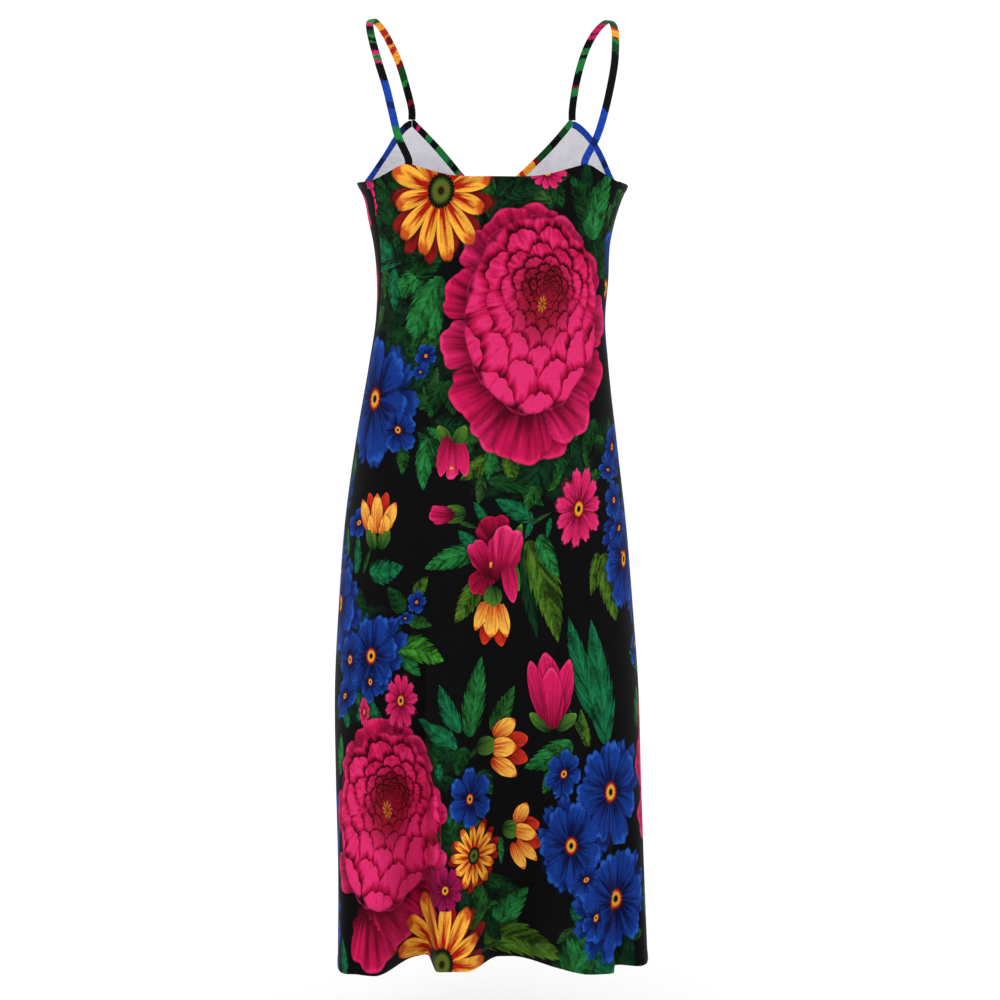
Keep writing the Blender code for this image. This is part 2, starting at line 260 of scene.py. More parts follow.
class Bench:
    """Builds the nodes of one material, from its expressions."""

    def __init__(self, name: str) -> None:
        """Start a material with its shader.

        Args:
            name: The material's name.
        """
        self.material = bpy.data.materials.new(name)
        self.material.use_nodes = True
        self.tree = self.material.node_tree
        self.shader = self.tree.nodes["Principled BSDF"]

    def node(
        self,
        kind: str,
        settings: dict[str, object],
        inputs: "dict[str, object] | Sequence[object]" = (),
        output: int | str = 0,
    ) -> Wire:
        """Add a node.

        Args:
            kind: The node's type.
            settings: Its properties, set first.
            inputs: The values or links of its sockets, by name or in order.
            output: The socket that is wanted.

        Returns:
            That socket.
        """
        made = self.tree.nodes.new(kind)
        for key, value in settings.items():
            setattr(made, key, value)
        pairs = inputs.items() if isinstance(inputs, dict) else enumerate(inputs)
        for key, value in pairs:
            if isinstance(value, Wire):
                self.tree.links.new(value.socket, made.inputs[key])
            else:
                made.inputs[key].default_value = value
        return Wire(self, made.outputs[output])

    def mix(self, share: "float | Wire", under: "Wire | Colour", over: "Wire | Colour") -> Wire:
        """Lay one colour over another.

        Args:
            share: How much of the upper colour shows.
            under: The lower colour.
            over: The upper colour.

        Returns:
            The mixed colour.
        """
        settings = {"data_type": "RGBA", "clamp_factor": True}
        return self.node("ShaderNodeMix", settings, {"Factor": share, 6: under, 7: over}, 2)

    def blend(self, share: Wire, start: float, end: Wire) -> Wire:
        """Go from one value to another.

        Args:
            share: How far, from 0 to 1.
            start: The value at 0.
            end: The value at 1.

        Returns:
            The value between.
        """
        settings = {"data_type": "FLOAT", "clamp_factor": True}
        return self.node("ShaderNodeMix", settings, {"Factor": share, 2: start, 3: end})

    def vector(self, x: "float | Wire", y: "float | Wire", z: "float | Wire") -> Wire:
        """Join three values into a vector."""
        return self.node("ShaderNodeCombineXYZ", {}, (x, y, z))

    def noise(self, place: Wire, scale: float, detail: float = 1.0) -> Wire:
        """Add soft noise, from about 0.2 to 0.8.

        Args:
            place: The vector it is read at.
            scale: How fine it is.
            detail: How many finer layers it has.

        Returns:
            The noise.
        """
        values = {"Vector": place, "Scale": scale, "Detail": detail}
        return self.node("ShaderNodeTexNoise", {"noise_dimensions": "3D"}, values)

    def chance(self, number: Wire) -> Wire:
        """Draw a fixed random value, 0 to 1, for each number."""
        return self.node("ShaderNodeTexWhiteNoise", {"noise_dimensions": "1D"}, {"W": number})

    def ramp(self, place: Wire, stops: Stops, interpolation: str = "LINEAR") -> Wire:
        """Run a value through a row of colours.

        Args:
            place: The value.
            stops: The colours with their places, in rising order.
            interpolation: How the colours between them go.

        Returns:
            The colour.
        """
        made = self.node("ShaderNodeValToRGB", {}, (place,))
        ramp = made.socket.node.color_ramp
        ramp.interpolation = interpolation
        while len(ramp.elements) < len(stops):
            ramp.elements.new(1.0)
        for element, (position, colour) in zip(ramp.elements, stops):
            element.position = position
            element.color = colour
        return made

    def pick(self, code: Wire, row: Sequence[Colour], count: int) -> Wire:
        """Choose a colour by a motif's code.

        Args:
            code: The code, whose whole part is the colour's number.
            row: The colours, from number 0 on.
            count: How many numbers the scale has.

        Returns:
            The colour.
        """
        stops = [(index / count, colour) for index, colour in enumerate(row)]
        return self.ramp(code / float(count), stops, "CONSTANT")

    def attribute(self, name: str, output: str = "Vector") -> Wire:
        """Read an attribute of the mesh."""
        return self.node("ShaderNodeAttribute", {"attribute_name": name}, {}, output)

    def split(self, vector: Wire) -> tuple[Wire, Wire, Wire]:
        """Take a vector apart.

        Args:
            vector: The vector.

        Returns:
            Its three values. Those of a screen are the place in the motif across and
            up, both -1 to 1, and the motif's code.
        """
        made = self.node("ShaderNodeSeparateXYZ", {}, (vector,)).socket.node
        return tuple(Wire(self, made.outputs[index]) for index in range(3))

    def finish(self, colour: Wire, relief: Wire, strength: float, values: dict[str, float]) -> None:
        """Connect the material's shader.

        Args:
            colour: The base colour.
            relief: The height of the knit.
            strength: How strongly it shows.
            values: Constant values of the shader's own sockets.
        """
        self.tree.links.new(colour.socket, self.shader.inputs["Base Color"])
        for name, value in values.items():
            self.shader.inputs[name].default_value = value
        raised = {"Strength": strength, "Distance": KNIT_HEIGHT, "Height": relief}
        bump = self.node("ShaderNodeBump", {}, raised)
        self.tree.links.new(bump.socket, self.shader.inputs["Normal"])


# How many numbers the scale of a code has: for leaves and petals, and for flowers from above.
PETAL_INKS = 8
BLOOM_INKS = 16


@dataclass(frozen=True)
class LeafInk:
    """How a toothed leaf is printed: its outline, side veins and midrib."""

    greens: tuple[Colour, ...] = inks(
        (18, 66, 28), (34, 116, 54), (18, 102, 62), (68, 106, 28),
        (12, 52, 28), (58, 132, 40), (36, 92, 36), (40, 82, 36),
    )
    teeth: float = 6.0
    slant: float = 0.36
    bend: float = 0.5
    base_curve: float = 0.55
    tip_curve: float = 0.92
    fullness: float = 2.16
    bite: float = 0.27
    body: float = 0.78
    margin: float = 0.02
    midrib: float = 0.035
    midrib_strength: float = 0.55
    midrib_tone: float = 0.12

    def paint(self, bench: Bench, name: str, brush: Wire) -> tuple[Wire, Wire]:
        """Draw the leaves of one screen.

        Args:
            bench: The material's bench.
            name: The screen's name.
            brush: Soft streaks of the whole print.

        Returns:
            How far inside the outline a place is, and its colour.
        """
        x, y, code = bench.split(bench.attribute(name))
        seed = code.part()
        rise = y.scaled(0.5, 0.5)
        side = x + (seed - 0.5) * (1.0 - y * y) * self.bend
        off = abs(side)
        veins = (rise - off * self.slant) * self.teeth + seed * 2.0
        tooth = veins.part()
        width = rise**self.base_curve * (1.0 - rise) ** self.tip_curve * self.fullness
        edge = width * (tooth * self.bite + self.body) - off - self.margin
        strokes = bench.noise(bench.vector(veins * 1.3, off * 1.9 + side * 0.6, code), 1.2, 2.0)
        ribs = tooth.scaled(3.6, 0.0) * 0.38 + 0.62
        tone = (strokes * 2.6 + side.fine(0.16) * 0.25 + brush * 0.7 - off * 0.3).scaled(1.0, -1.22)
        light = bench.pick(code, self.greens, PETAL_INKS)
        colour = light * ((tone * 1.25 + 0.18) * ribs)
        middle = (self.midrib - off).fine(0.05) * rise.scaled(-1.3, 1.3)
        return edge, bench.mix(middle * self.midrib_strength, colour, light * self.midrib_tone)


@dataclass(frozen=True)
class PetalInk:
    """How one broad petal is printed: dark lines from its base, a frilled bright tip.

    A motif's number is its ink. The first four are frilled, the others pointed.
    """

    bases: tuple[Colour, ...] = inks(
        (112, 2, 34), (128, 4, 42), (84, 2, 26), (160, 8, 60),
        (186, 40, 18), (12, 44, 20), (124, 4, 40), (98, 8, 12),
    )
    tips: tuple[Colour, ...] = inks(
        (204, 20, 84), (216, 32, 98), (168, 12, 58), (224, 46, 108),
        (250, 186, 72), (70, 112, 36), (210, 28, 92), (196, 44, 26),
    )
    ends: tuple[Colour, ...] = inks(
        (218, 38, 98), (226, 52, 112), (188, 22, 72), (234, 70, 126),
        (200, 46, 22), (96, 140, 44), (226, 56, 114), (214, 70, 34),
    )
    squareness: float = 2.3
    lobe_turns: float = 4.4
    lobe_depth: float = 0.13
    frill_turns: float = 15.0
    frill_depth: float = 0.016
    point: float = 0.66
    reach: float = 0.86
    fan: float = 0.45
    streaks: float = 5.5
    end_width: float = 0.12
    end_strength: float = 0.8
    rim_light: float = 1.16
    rim_fall: float = 0.16

    def paint(self, bench: Bench, name: str, brush: Wire) -> tuple[Wire, Wire]:
        """Draw the petals of one screen.

        Args:
            bench: The material's bench.
            name: The screen's name.
            brush: Soft streaks of the whole print.

        Returns:
            How far inside the outline a place is, and its colour.
        """
        x, y, code = bench.split(bench.attribute(name))
        rise = y.scaled(0.5, 0.5)
        pointed = (code - 4.0).fine(0.04)
        turn = code.part() * 40.0
        taper = (rise * 0.36 + 0.64) * (1.0 - rise**3.0 * pointed * self.point)
        far = (abs(x / taper) ** self.squareness + abs(y) ** self.squareness) ** 0.435
        angle = x.math("ARCTAN2", y + self.fan)
        lobes = abs((angle * self.lobe_turns + turn).sine()) * self.lobe_depth
        lobes = lobes + (angle * self.frill_turns + turn).sine() * self.frill_depth
        edge = lobes * (1.0 - pointed * 0.8) + self.reach + pointed * 0.06 - far
        spread = x / (rise + 0.30)
        lines = bench.noise(bench.vector(spread * self.streaks, rise * 0.9, code), 1.0, 3.0)
        depth = (lines * 2.9 + rise * 1.6 + pointed * 0.45).scaled(0.9, -1.76)
        base, bright, last = (
            bench.pick(code, row, PETAL_INKS) for row in (self.bases, self.tips, self.ends)
        )
        colour = bench.mix(depth, base, bright)
        end = rise + (lines - 0.5) * 0.5 - self.reach + pointed * 0.05 - edge * 0.6
        colour = bench.mix(end.fine(self.end_width) * self.end_strength, colour, last)
        rim = self.rim_light - edge.scaled(7.0, 0.0) * self.rim_fall
        dusk = (rise + pointed * 0.22).scaled(1.9, 0.16)
        return edge, colour * (rim * dusk * (brush * 0.5 + 0.76))


@dataclass(frozen=True)
class RosetteInk:
    """How a flower seen from above is printed: a ring of petals round an eye.

    A motif's number is its count of petals: 5 to 7 are blue, 9 and 11 pink, 12 orange.
    10 are the dark petals behind a blue flower, 13 those behind an orange one. An
    orange flower's eye is a dark green disc, any other's a dark core in a bright ring.
    """

    bases: tuple[Colour, ...] = inks(
        *((6, 14, 58),) * 9, (80, 2, 34), (4, 8, 36), (120, 4, 44), (168, 22, 12), (60, 6, 8)
    )
    mains: tuple[Colour, ...] = inks(
        *((18, 53, 134),) * 9, (150, 16, 76), (14, 40, 112), (216, 36, 100), (250, 176, 58),
        (130, 16, 20),
    )
    tips: tuple[Colour, ...] = inks(
        *((37, 90, 184),) * 9, (170, 26, 90), (28, 72, 160), (230, 58, 122), (190, 40, 20),
        (150, 20, 22),
    )
    ring_eye: Stops = (
        (0.0, ink(8, 10, 10)), (0.30, ink(14, 14, 8)), (0.42, ink(226, 176, 56)),
        (0.62, ink(236, 150, 44)), (0.80, ink(170, 32, 22)), (1.0, ink(80, 8, 18)),
    )
    dark_eye: Stops = (
        (0.0, ink(56, 26, 10)), (0.20, ink(24, 14, 6)), (0.30, ink(84, 96, 26)),
        (0.58, ink(90, 104, 32)), (0.74, ink(36, 54, 16)), (0.86, ink(8, 18, 6)),
        (1.0, ink(10, 12, 6)),
    )
    last_flat: float = 11.0
    shortest: float = 0.83
    unevenness: float = 0.16
    nick_turns: float = 5.2
    nick_depth: float = 0.075
    roundness: float = 2.6
    streaks: float = 3.6
    tip_strength: float = 0.85
    eye_size: float = 0.125
    eye_growth: float = 0.009

    def paint(self, bench: Bench, name: str, brush: Wire) -> tuple[Wire, Wire]:
        """Draw the flowers of one screen.

        Args:
            bench: The material's bench.
            name: The screen's name.
            brush: Soft streaks of the whole print.

        Returns:
            How far inside the outline a place is, and its colour.
        """
        x, y, code = bench.split(bench.attribute(name))
        count = code.whole()
        seed = code.part()
        reach = (x * x + y * y) ** 0.5
        turned = x.math("ARCTAN2", y) * (0.5 / math.pi) * count
        sector = turned + seed * 7.0 + 30.0
        index = sector.whole()
        side = sector.part() * 2.0 - 1.0
        off = abs(side)
        chance = bench.chance(index + seed)
        is_round = (count - self.last_flat).scaled(1.0, 0.0)
        tip = chance * self.unevenness + self.shortest
        nick = abs((side * self.nick_turns + chance * 6.0).sine()) * self.nick_depth
        nick = nick * (1.0 - is_round * 0.7)
        top = tip * (0.98 - off**self.roundness * (0.30 + is_round * 0.20)) + nick - reach
        streak_place = bench.vector(side * self.streaks, reach * 1.8, index + seed * 9.0)
        lines = bench.noise(streak_place, 1.0, 2.0)
        streak = lines * 2.4 - 1.2
        depth = streak * 1.35 + reach * 2.2 - 0.5 + is_round * (off * 0.9 - 0.60 - streak * 0.3)
        depth = depth.scaled(is_round * 0.5 + 1.0, 0.0)
        base, main, last = (
            bench.pick(code, row, BLOOM_INKS) for row in (self.bases, self.mains, self.tips)
        )
        colour = bench.mix(depth, base, main)
        notch = (reach / tip + streak * 0.14 - 0.93 + is_round * (0.10 - off * 0.10)).fine(0.10)
        colour = bench.mix(notch * self.tip_strength, colour, last)
        seam = ((1.0 - off) * reach).scaled(14.0, 0.0) * (0.62 - is_round * 0.3) + 0.38 + is_round * 0.3
        colour = colour * (seam * (side * 0.16 + brush * 0.6 + 0.72))
        eye_reach = count * self.eye_growth + self.eye_size
        rung = reach / eye_reach + (turned * 12.566).sine() * 0.05
        eye = bench.mix(is_round, bench.ramp(rung, self.ring_eye), bench.ramp(rung, self.dark_eye))
        return top, bench.mix((1.04 - rung).fine(0.1), colour, eye)


@dataclass(frozen=True)
class BallInk:
    """How a full round flower is printed: rows of frilled petals round a deep core."""

    core_across: float = 0.18
    core_up: float = 0.27
    petals: float = 10.0
    rows: float = 3.3
    scallop: float = 0.58
    row_turn: float = 0.47
    frill_turns: float = 5.5
    frill_depth: float = 0.18
    lobe_reach: float = 0.88
    lobe_roundness: float = 2.8
    lit: float = 0.94
    calm: float = 0.58
    darkest: float = 0.03
    anther_ring: float = 0.055
    anther_width: float = 0.032
    fresh: Stops = (
        (0.0, ink(40, 0, 12)), (0.25, ink(116, 4, 34)), (0.50, ink(176, 14, 64)),
        (0.75, ink(208, 26, 88)), (1.0, ink(228, 46, 112)),
    )
    deep: Stops = ((0.0, ink(22, 0, 6)), (0.5, ink(84, 4, 18)), (1.0, ink(150, 20, 44)))
    gold: Colour = ink(190, 120, 34)

    def paint(self, bench: Bench, name: str, brush: Wire) -> tuple[Wire, Wire]:
        """Draw the full flowers of one screen.

        Args:
            bench: The material's bench.
            name: The screen's name.
            brush: Soft streaks of the whole print.

        Returns:
            How far inside the outline a place is, and its colour.
        """
        x, y, code = bench.split(bench.attribute(name))
        seed = code.part()
        wobble = bench.noise(bench.vector(x, y, code), 2.2, 1.0) - 0.5
        off_x = x - self.core_across + wobble * 0.16
        off_y = y - self.core_up - wobble * 0.12
        spare = 1.0 - self.core_across**2 - self.core_up**2
        lean = off_x * self.core_across + off_y * self.core_up
        far = off_x * off_x + off_y * off_y
        ring = (lean + (lean * lean + far * spare) ** 0.5) / spare + 0.0005
        up = off_y / ring + self.core_up
        across = off_x / ring + self.core_across
        depth = ring.math("LOGARITHM", math.e) * -self.rows
        near = (0.0 - up).fine(0.02)
        row_place = (near * 2.0 - 1.0) * depth + 20.0
        open_side = abs(up).scaled(2.6, -0.1)
        turned = across.math("ARCTAN2", up) * (self.petals * 0.5 / math.pi)
        row = row_place.whole()
        rest = row_place.part()
        sector = turned + row * self.row_turn + seed * 3.0 + 30.0
        side = sector.part() * 2.0 - 1.0
        frill = abs((side * self.frill_turns + row * 2.0).sine()) * self.frill_depth
        lobe = self.lobe_reach - abs(side) ** self.lobe_roundness + frill
        beyond = rest - lobe * open_side * self.scallop
        behind = beyond.fine(0.03)
        other = sector + behind * self.row_turn
        chance = bench.chance(other.whole() * 3.1 + row + behind)
        cut = 1.0 - abs(other.part() * 2.0 - 1.0)
        streak_place = bench.vector(turned * 9.0, row_place * 0.9, row + behind)
        lines = bench.noise(streak_place, 1.0, 2.0)
        tone = bench.blend(behind, self.lit, beyond.scaled(1.9, 0.02))
        tone = tone + (self.calm - tone) * (1.0 - open_side) * 0.45
        tone = tone + (lines - 0.5) * 1.4 + chance * 0.24 - up * 0.22 - 0.10
        side_line = cut.scaled(5.0, 0.0) * 0.45 + 0.55
        tone = (tone * side_line).math("MAXIMUM", self.darkest, clamp=True)
        deep, fresh = bench.ramp(tone, self.deep), bench.ramp(tone, self.fresh)
        colour = bench.mix(ring.scaled(4.0, -1.15), deep, fresh)
        spot_x = off_x + 0.10
        spot_y = off_y + 0.15
        spot = (spot_x * spot_x * 1.7 + spot_y * spot_y) ** 0.5
        rays = (spot_x.math("ARCTAN2", spot_y) * 9.0).sine() * 0.8 + 0.55
        ring_of_gold = (self.anther_width - abs(spot - self.anther_ring)).fine(0.03)
        gold = ring_of_gold * rays.math("MAXIMUM", 0.0, clamp=True)
        colour = bench.mix(gold, colour, self.gold)
        return lobe * 0.07 + 0.93 - ring, colour * (brush * 0.4 + 0.8)


# How near two motifs count as meeting: spare room between them, and round an outline, in mm.
MEET_ROOM = 5.0
MEET_MARGIN = 1.5
MEET_STEPS = 25
# How much wider a full flower counts when smaller flowers are kept off it.
BALL_GUARD = 1.2


class Motif(NamedTuple):
    """A printed motif, in millimetres on the cloth as seen from outside."""

    number: int
    right: float
    drop: float
    half_width: float
    half_height: float
    turn: float

    def local(self, right: np.ndarray, drop: np.ndarray) -> tuple[np.ndarray, np.ndarray]:
        """Find places within the motif.

        Args:
            right: Places on the cloth, to the viewer's right.
            drop: Their drops.

        Returns:
            The places across and up the motif, both -1 to 1 within it.
        """
        angle = math.radians(self.turn)
        sine, cosine = math.sin(angle), math.cos(angle)
        aside, above = right * MM_PER_M - self.right, self.drop - drop * MM_PER_M
        across = (aside * cosine - above * sine) / self.half_width
        return across, (aside * sine + above * cosine) / self.half_height

    def meets(self, other: "Motif", reach: float) -> bool:
        """Tell whether two motifs share cloth.

        Args:
            other: The other motif.
            reach: How far a motif's ink goes, as a share of its half sizes.

        Returns:
            True where they overlap or nearly do.
        """
        gap = math.hypot(self.right - other.right, self.drop - other.drop)
        if gap > (max(self[3:5]) + max(other[3:5])) * reach + MEET_ROOM:
            return False
        for one, two in ((self, other), (other, self)):
            angle = math.radians(one.turn)
            ring = np.linspace(0.0, 2.0 * math.pi, MEET_STEPS)
            wide = np.append(np.cos(ring), 0.0) * (one.half_width * reach + MEET_MARGIN)
            high = np.append(np.sin(ring), 0.0) * (one.half_height * reach + MEET_MARGIN)
            right = one.right + wide * math.cos(angle) + high * math.sin(angle)
            drop = one.drop + wide * math.sin(angle) - high * math.cos(angle)
            across, up = two.local(right / MM_PER_M, drop / MM_PER_M)
            if bool((np.hypot(across, up) < reach).any()):
                return True
        return False


class Kind(Enum):
    """What a screen prints."""

    LEAF = "leaf"
    BLOOM = "bloom"
    PETAL = "petal"
    BALL = "ball"


class Screen(NamedTuple):
    """One printing screen: its name, the kind of ink it takes, and how far a motif reaches."""

    name: str
    kind: Kind
    reach: float


# The screens, in the order in which they are printed over each other.
SCREENS = (
    Screen("leaf_deep", Kind.LEAF, 1.05),
    Screen("leaf_under", Kind.LEAF, 1.05),
    Screen("leaf_low", Kind.LEAF, 1.05),
    Screen("leaf_middle", Kind.LEAF, 1.05),
    Screen("leaf_top", Kind.LEAF, 1.05),
    Screen("bloom_low", Kind.BLOOM, 1.03),
    Screen("petal_low", Kind.PETAL, 1.22),
    Screen("petal_middle", Kind.PETAL, 1.22),
    Screen("petal_high", Kind.PETAL, 1.22),
    Screen("petal_top", Kind.PETAL, 1.22),
    Screen("ball", Kind.BALL, 1.06),
    Screen("bloom_top", Kind.BLOOM, 1.03),
)
THICKET_SCREENS = SCREENS[0:2]
LEAF_SCREENS = SCREENS[2:5]
BLOOM_SCREENS = (SCREENS[5], SCREENS[11])
PETAL_SCREENS = SCREENS[6:10]
BALL_SCREENS = SCREENS[10:11]

# Leaves of the back: number, right, drop, half width, half height and turn.
LEAVES = (
    (4, -99, 319, 20, 36, 265), (2, -164, 300, 21, 28, 300), (2, -156, 325, 6, 29, 80),
    (2, -181, 374, 9, 37, 180), (2, -135, 355, 15, 28, 178), (1, -95, 384, 28, 53, 205),
    (1, -74, 397, 15, 38, 185), (1, -121, 348, 21, 32, 240), (0, -93, 327, 20, 32, 60),
    (0, -121, 427, 20, 35, 200), (0, -151, 245, 20, 29, 330), (0, -126, 272, 18, 32, 200),
    (0, -132, 208, 15, 20, 20), (0, -31, 279, 16, 26, 200), (4, 12, 247, 16, 26, 100),
    (4, 39, 228, 16, 29, 75), (0, 27, 273, 15, 26, 60), (0, 77, 228, 16, 26, 150),
    (4, 120, 211, 15, 19, 0), (0, 115, 239, 21, 35, 330), (1, 146, 246, 28, 45, 14),
    (4, 162, 293, 14, 22, 40), (0, 159, 318, 14, 24, 20), (6, -78, 427, 12, 24, 40),
    (4, -88, 462, 15, 24, 30), (0, -108, 446, 16, 26, 350), (0, -70, 498, 16, 26, 200),
    (4, -55, 529, 18, 21, 80), (6, -25, 544, 18, 21, 95), (0, -50, 495, 15, 24, 170),
    (6, -116, 575, 12, 20, 175), (2, -209, 595, 10, 27, 190), (1, -82, 581, 16, 34, 185),
    (1, -71, 539, 8, 13, 300), (3, -18, 585, 15, 25, 230), (1, 2, 577, 12, 26, 188),
    (3, 29, 584, 15, 24, 175), (4, 68, 596, 28, 45, 198), (0, 37, 608, 16, 38, 100),
    (6, 60, 616, 16, 31, 205), (0, 94, 569, 15, 26, 170), (4, 120, 576, 12, 29, 160),
    (0, 139, 551, 15, 29, 200), (6, 135, 590, 5, 29, 165), (2, 33, 639, 16, 28, 299),
    (2, -11, 642, 8, 16, 330), (1, -49, 705, 19, 36, 252), (2, -28, 678, 12, 17, 320),
    (3, -26, 755, 19, 35, 211), (4, 54, 741, 16, 67, 172), (3, 71, 745, 26, 69, 164),
    (1, 80, 699, 15, 31, 156), (2, 52, 665, 6, 13, 200), (2, 79, 663, 5, 13, 190),
    (7, 65, 652, 4, 20, 62), (7, -26, 658, 4, 15, 110), (3, 141, 724, 12, 28, 192),
    (3, 166, 743, 25, 46, 169), (2, -211, 685, 10, 20, 350), (2, -184, 698, 10, 27, 2),
    (7, -164, 706, 4, 19, 20), (2, -135, 716, 21, 25, 80), (3, -87, 740, 11, 18, 30),
    (6, -89, 785, 12, 16, 100), (0, -122, 756, 15, 20, 330), (5, -89, 827, 25, 32, 102),
    (1, -100, 843, 12, 18, 140), (6, -186, 874, 11, 20, 10), (2, -168, 893, 10, 20, 20),
    (2, -151, 894, 6, 15, 345), (2, -200, 910, 10, 15, 330), (2, -52, 895, 15, 34, 338),
    (1, -17, 881, 20, 53, 10), (6, 19, 900, 15, 34, 26), (2, -68, 931, 18, 30, 305),
    (6, -4, 998, 15, 19, 160), (4, -59, 959, 12, 20, 250), (2, -65, 977, 8, 13, 180),
    (7, -15, 952, 4, 29, 60), (0, -84, 961, 16, 27, 280), (0, -37, 964, 15, 20, 200),
    (0, -76, 1008, 15, 24, 340), (2, -54, 1033, 8, 18, 20), (0, -57, 1061, 15, 26, 350),
    (1, 218, 901, 14, 28, 8), (2, 123, 848, 20, 75, 345), (2, 143, 862, 24, 82, 354),
    (3, 123, 920, 10, 25, 350), (7, 114, 920, 4, 26, 155), (1, 75, 959, 21, 37, 236),
    (1, 74, 994, 10, 18, 200), (6, 91, 953, 12, 18, 300), (1, 12, 1093, 6, 19, 180),
    (6, -24, 1156, 20, 32, 8), (4, -41, 1145, 15, 26, 340), (1, 20, 1182, 24, 50, 34),
    (3, 41, 1219, 30, 54, 98), (4, 3, 1203, 11, 21, 160), (7, 0, 1223, 4, 21, 90),
    (2, -208, 1220, 12, 25, 350), (2, 105, 1167, 10, 13, 330), (1, 111, 1212, 29, 40, 20),
    (2, 139, 1230, 22, 32, 350), (4, 176, 1224, 20, 32, 10), (2, 270, 1080, 9, 20, 0),
    (0, 137, 1183, 20, 29, 20), (0, -96, 1134, 15, 24, 20),
)

# Flowers seen from above; the number is the count of petals, or one of the rings behind.
BEHIND_NUMBERS = (10, 13)
BLOOMS = (
    (5, -86, 441, 16, 18, 30), (6, -93, 462, 9, 12, 60), (10, -159, 502, 63, 89, 20),
    (6, -164, 498, 61, 84, 8), (5, -122, 537, 29, 34, 150), (10, 193, 569, 29, 45, 45),
    (5, 186, 562, 21, 34, 20), (6, 250, 599, 20, 31, 60), (5, 172, 591, 13, 21, 100),
    (6, 183, 631, 20, 26, 10), (10, 190, 665, 29, 45, 45), (5, 193, 668, 20, 32, 45),
    (5, 198, 700, 12, 24, 80), (11, 66, 206, 26, 21, 10), (11, -185, 218, 18, 26, 0),
    (11, -181, 254, 14, 22, 20), (5, -93, 759, 13, 16, 20), (5, -108, 780, 8, 12, 70),
    (6, -191, 836, 26, 39, 10), (10, -218, 770, 48, 74, 0), (6, -230, 769, 44, 69, 15),
    (5, -201, 884, 20, 34, 40), (6, -156, 861, 18, 28, 0), (10, -154, 830, 43, 62, 30),
    (7, -155, 828, 39, 57, 5), (11, 120, 639, 34, 55, 10), (11, -115, 888, 23, 38, 0),
    (7, 95, 981, 22, 35, 20), (6, -27, 1014, 29, 43, 0), (10, 159, 1009, 49, 81, 24),
    (7, 157, 1006, 47, 75, 0), (10, 102, 1077, 43, 69, 0), (7, 102, 1074, 40, 65, 12),
    (6, 120, 1117, 18, 28, 50), (10, 158, 1153, 52, 81, 30), (7, 161, 1150, 50, 76, 5),
    (6, 132, 1167, 18, 34, 20), (9, -63, 1133, 25, 35, 10), (13, -23, 1092, 35, 51, 15),
    (12, -24, 1090, 33, 48, 0), (13, -69, 1231, 60, 90, 19), (12, -69, 1231, 61, 91, 4),
    (13, -70, 232, 75, 95, 21), (12, -71, 229, 72, 93, 6), (11, 267, 840, 8, 20, 0),
)

# Single petals and sepals, of the full flowers' skirts and of the buds.
PETALS = (
    (0, 52, 281, 41, 37, 10), (0, 111, 338, 41, 38, 59), (0, 123, 461, 43, 42, 110),
    (0, 67, 531, 44, 48, 157), (1, 19, 522, 44, 47, 214), (1, -30, 427, 39, 39, 270),
    (1, -7, 313, 39, 37, 311), (1, 81, 298, 41, 38, 36), (1, 133, 397, 42, 38, 84),
    (1, 96, 509, 45, 46, 133), (0, 45, 534, 46, 48, 185), (0, -11, 485, 45, 43, 242),
    (0, -29, 365, 42, 38, 292), (0, 23, 287, 43, 37, 331), (0, -132, 942, 37, 35, 21),
    (0, -94, 1027, 38, 36, 72), (0, -117, 1158, 42, 42, 121), (0, -143, 1172, 41, 45, 204),
    (1, -187, 1105, 37, 39, 251), (1, -170, 972, 36, 35, 298), (1, -112, 967, 38, 35, 52),
    (1, -96, 1102, 39, 38, 94), (1, -139, 1173, 44, 46, 156), (0, -192, 1036, 39, 35, 271),
    (0, -144, 942, 39, 35, 336), (0, -159, 1191, 39, 47, 178), (5, -59, 544, 12, 16, 330),
    (5, -38, 544, 12, 16, 30), (6, -58, 570, 13, 28, 190), (6, -35, 570, 13, 28, 168),
    (3, -48, 572, 15, 28, 180), (4, -48, 585, 4, 5, 180), (5, -46, 644, 17, 19, 262),
    (1, -60, 645, 15, 17, 270), (5, 32, 717, 10, 31, 165), (5, 36, 678, 9, 23, 20),
    (2, 8, 668, 28, 22, 345), (2, -6, 728, 20, 23, 215), (1, -8, 702, 18, 26, 335),
    (6, 28, 730, 14, 33, 172), (3, 21, 696, 27, 37, 12), (4, 4, 710, 5, 7, 0),
    (5, 66, 916, 12, 18, 310), (5, 99, 913, 12, 18, 50), (6, 78, 857, 21, 35, 352),
    (6, 96, 872, 17, 43, 12), (6, 64, 876, 16, 44, 346), (6, 81, 883, 21, 43, 0),
    (7, -160, 637, 11, 19, 348), (7, -139, 635, 11, 19, 12), (4, -169, 649, 12, 23, 340),
    (4, -131, 650, 12, 23, 24), (4, -150, 646, 13, 28, 0), (4, -138, 661, 11, 17, 15),
    (4, -157, 662, 11, 17, 345), (5, -158, 677, 12, 17, 340), (5, -138, 676, 12, 17, 20),
    (5, 6, 753, 17, 16, 180), (7, -2, 798, 12, 18, 190), (7, 15, 801, 12, 18, 172),
    (4, -8, 774, 12, 24, 202), (4, 19, 782, 12, 26, 168), (4, 5, 782, 16, 26, 184),
    (7, 35, 942, 16, 17, 72), (7, 36, 964, 16, 15, 105), (4, 20, 926, 16, 19, 50),
    (4, 19, 979, 16, 21, 126), (4, 18, 952, 19, 19, 88), (5, -3, 949, 18, 14, 90),
    (7, 51, 1054, 15, 13, 70), (7, 52, 1077, 15, 13, 105), (4, 40, 1041, 12, 18, 28),
    (4, 35, 1100, 12, 20, 158), (4, 46, 1090, 12, 18, 134), (4, 43, 1066, 16, 17, 92),
    (5, 26, 1064, 18, 12, 92),
)

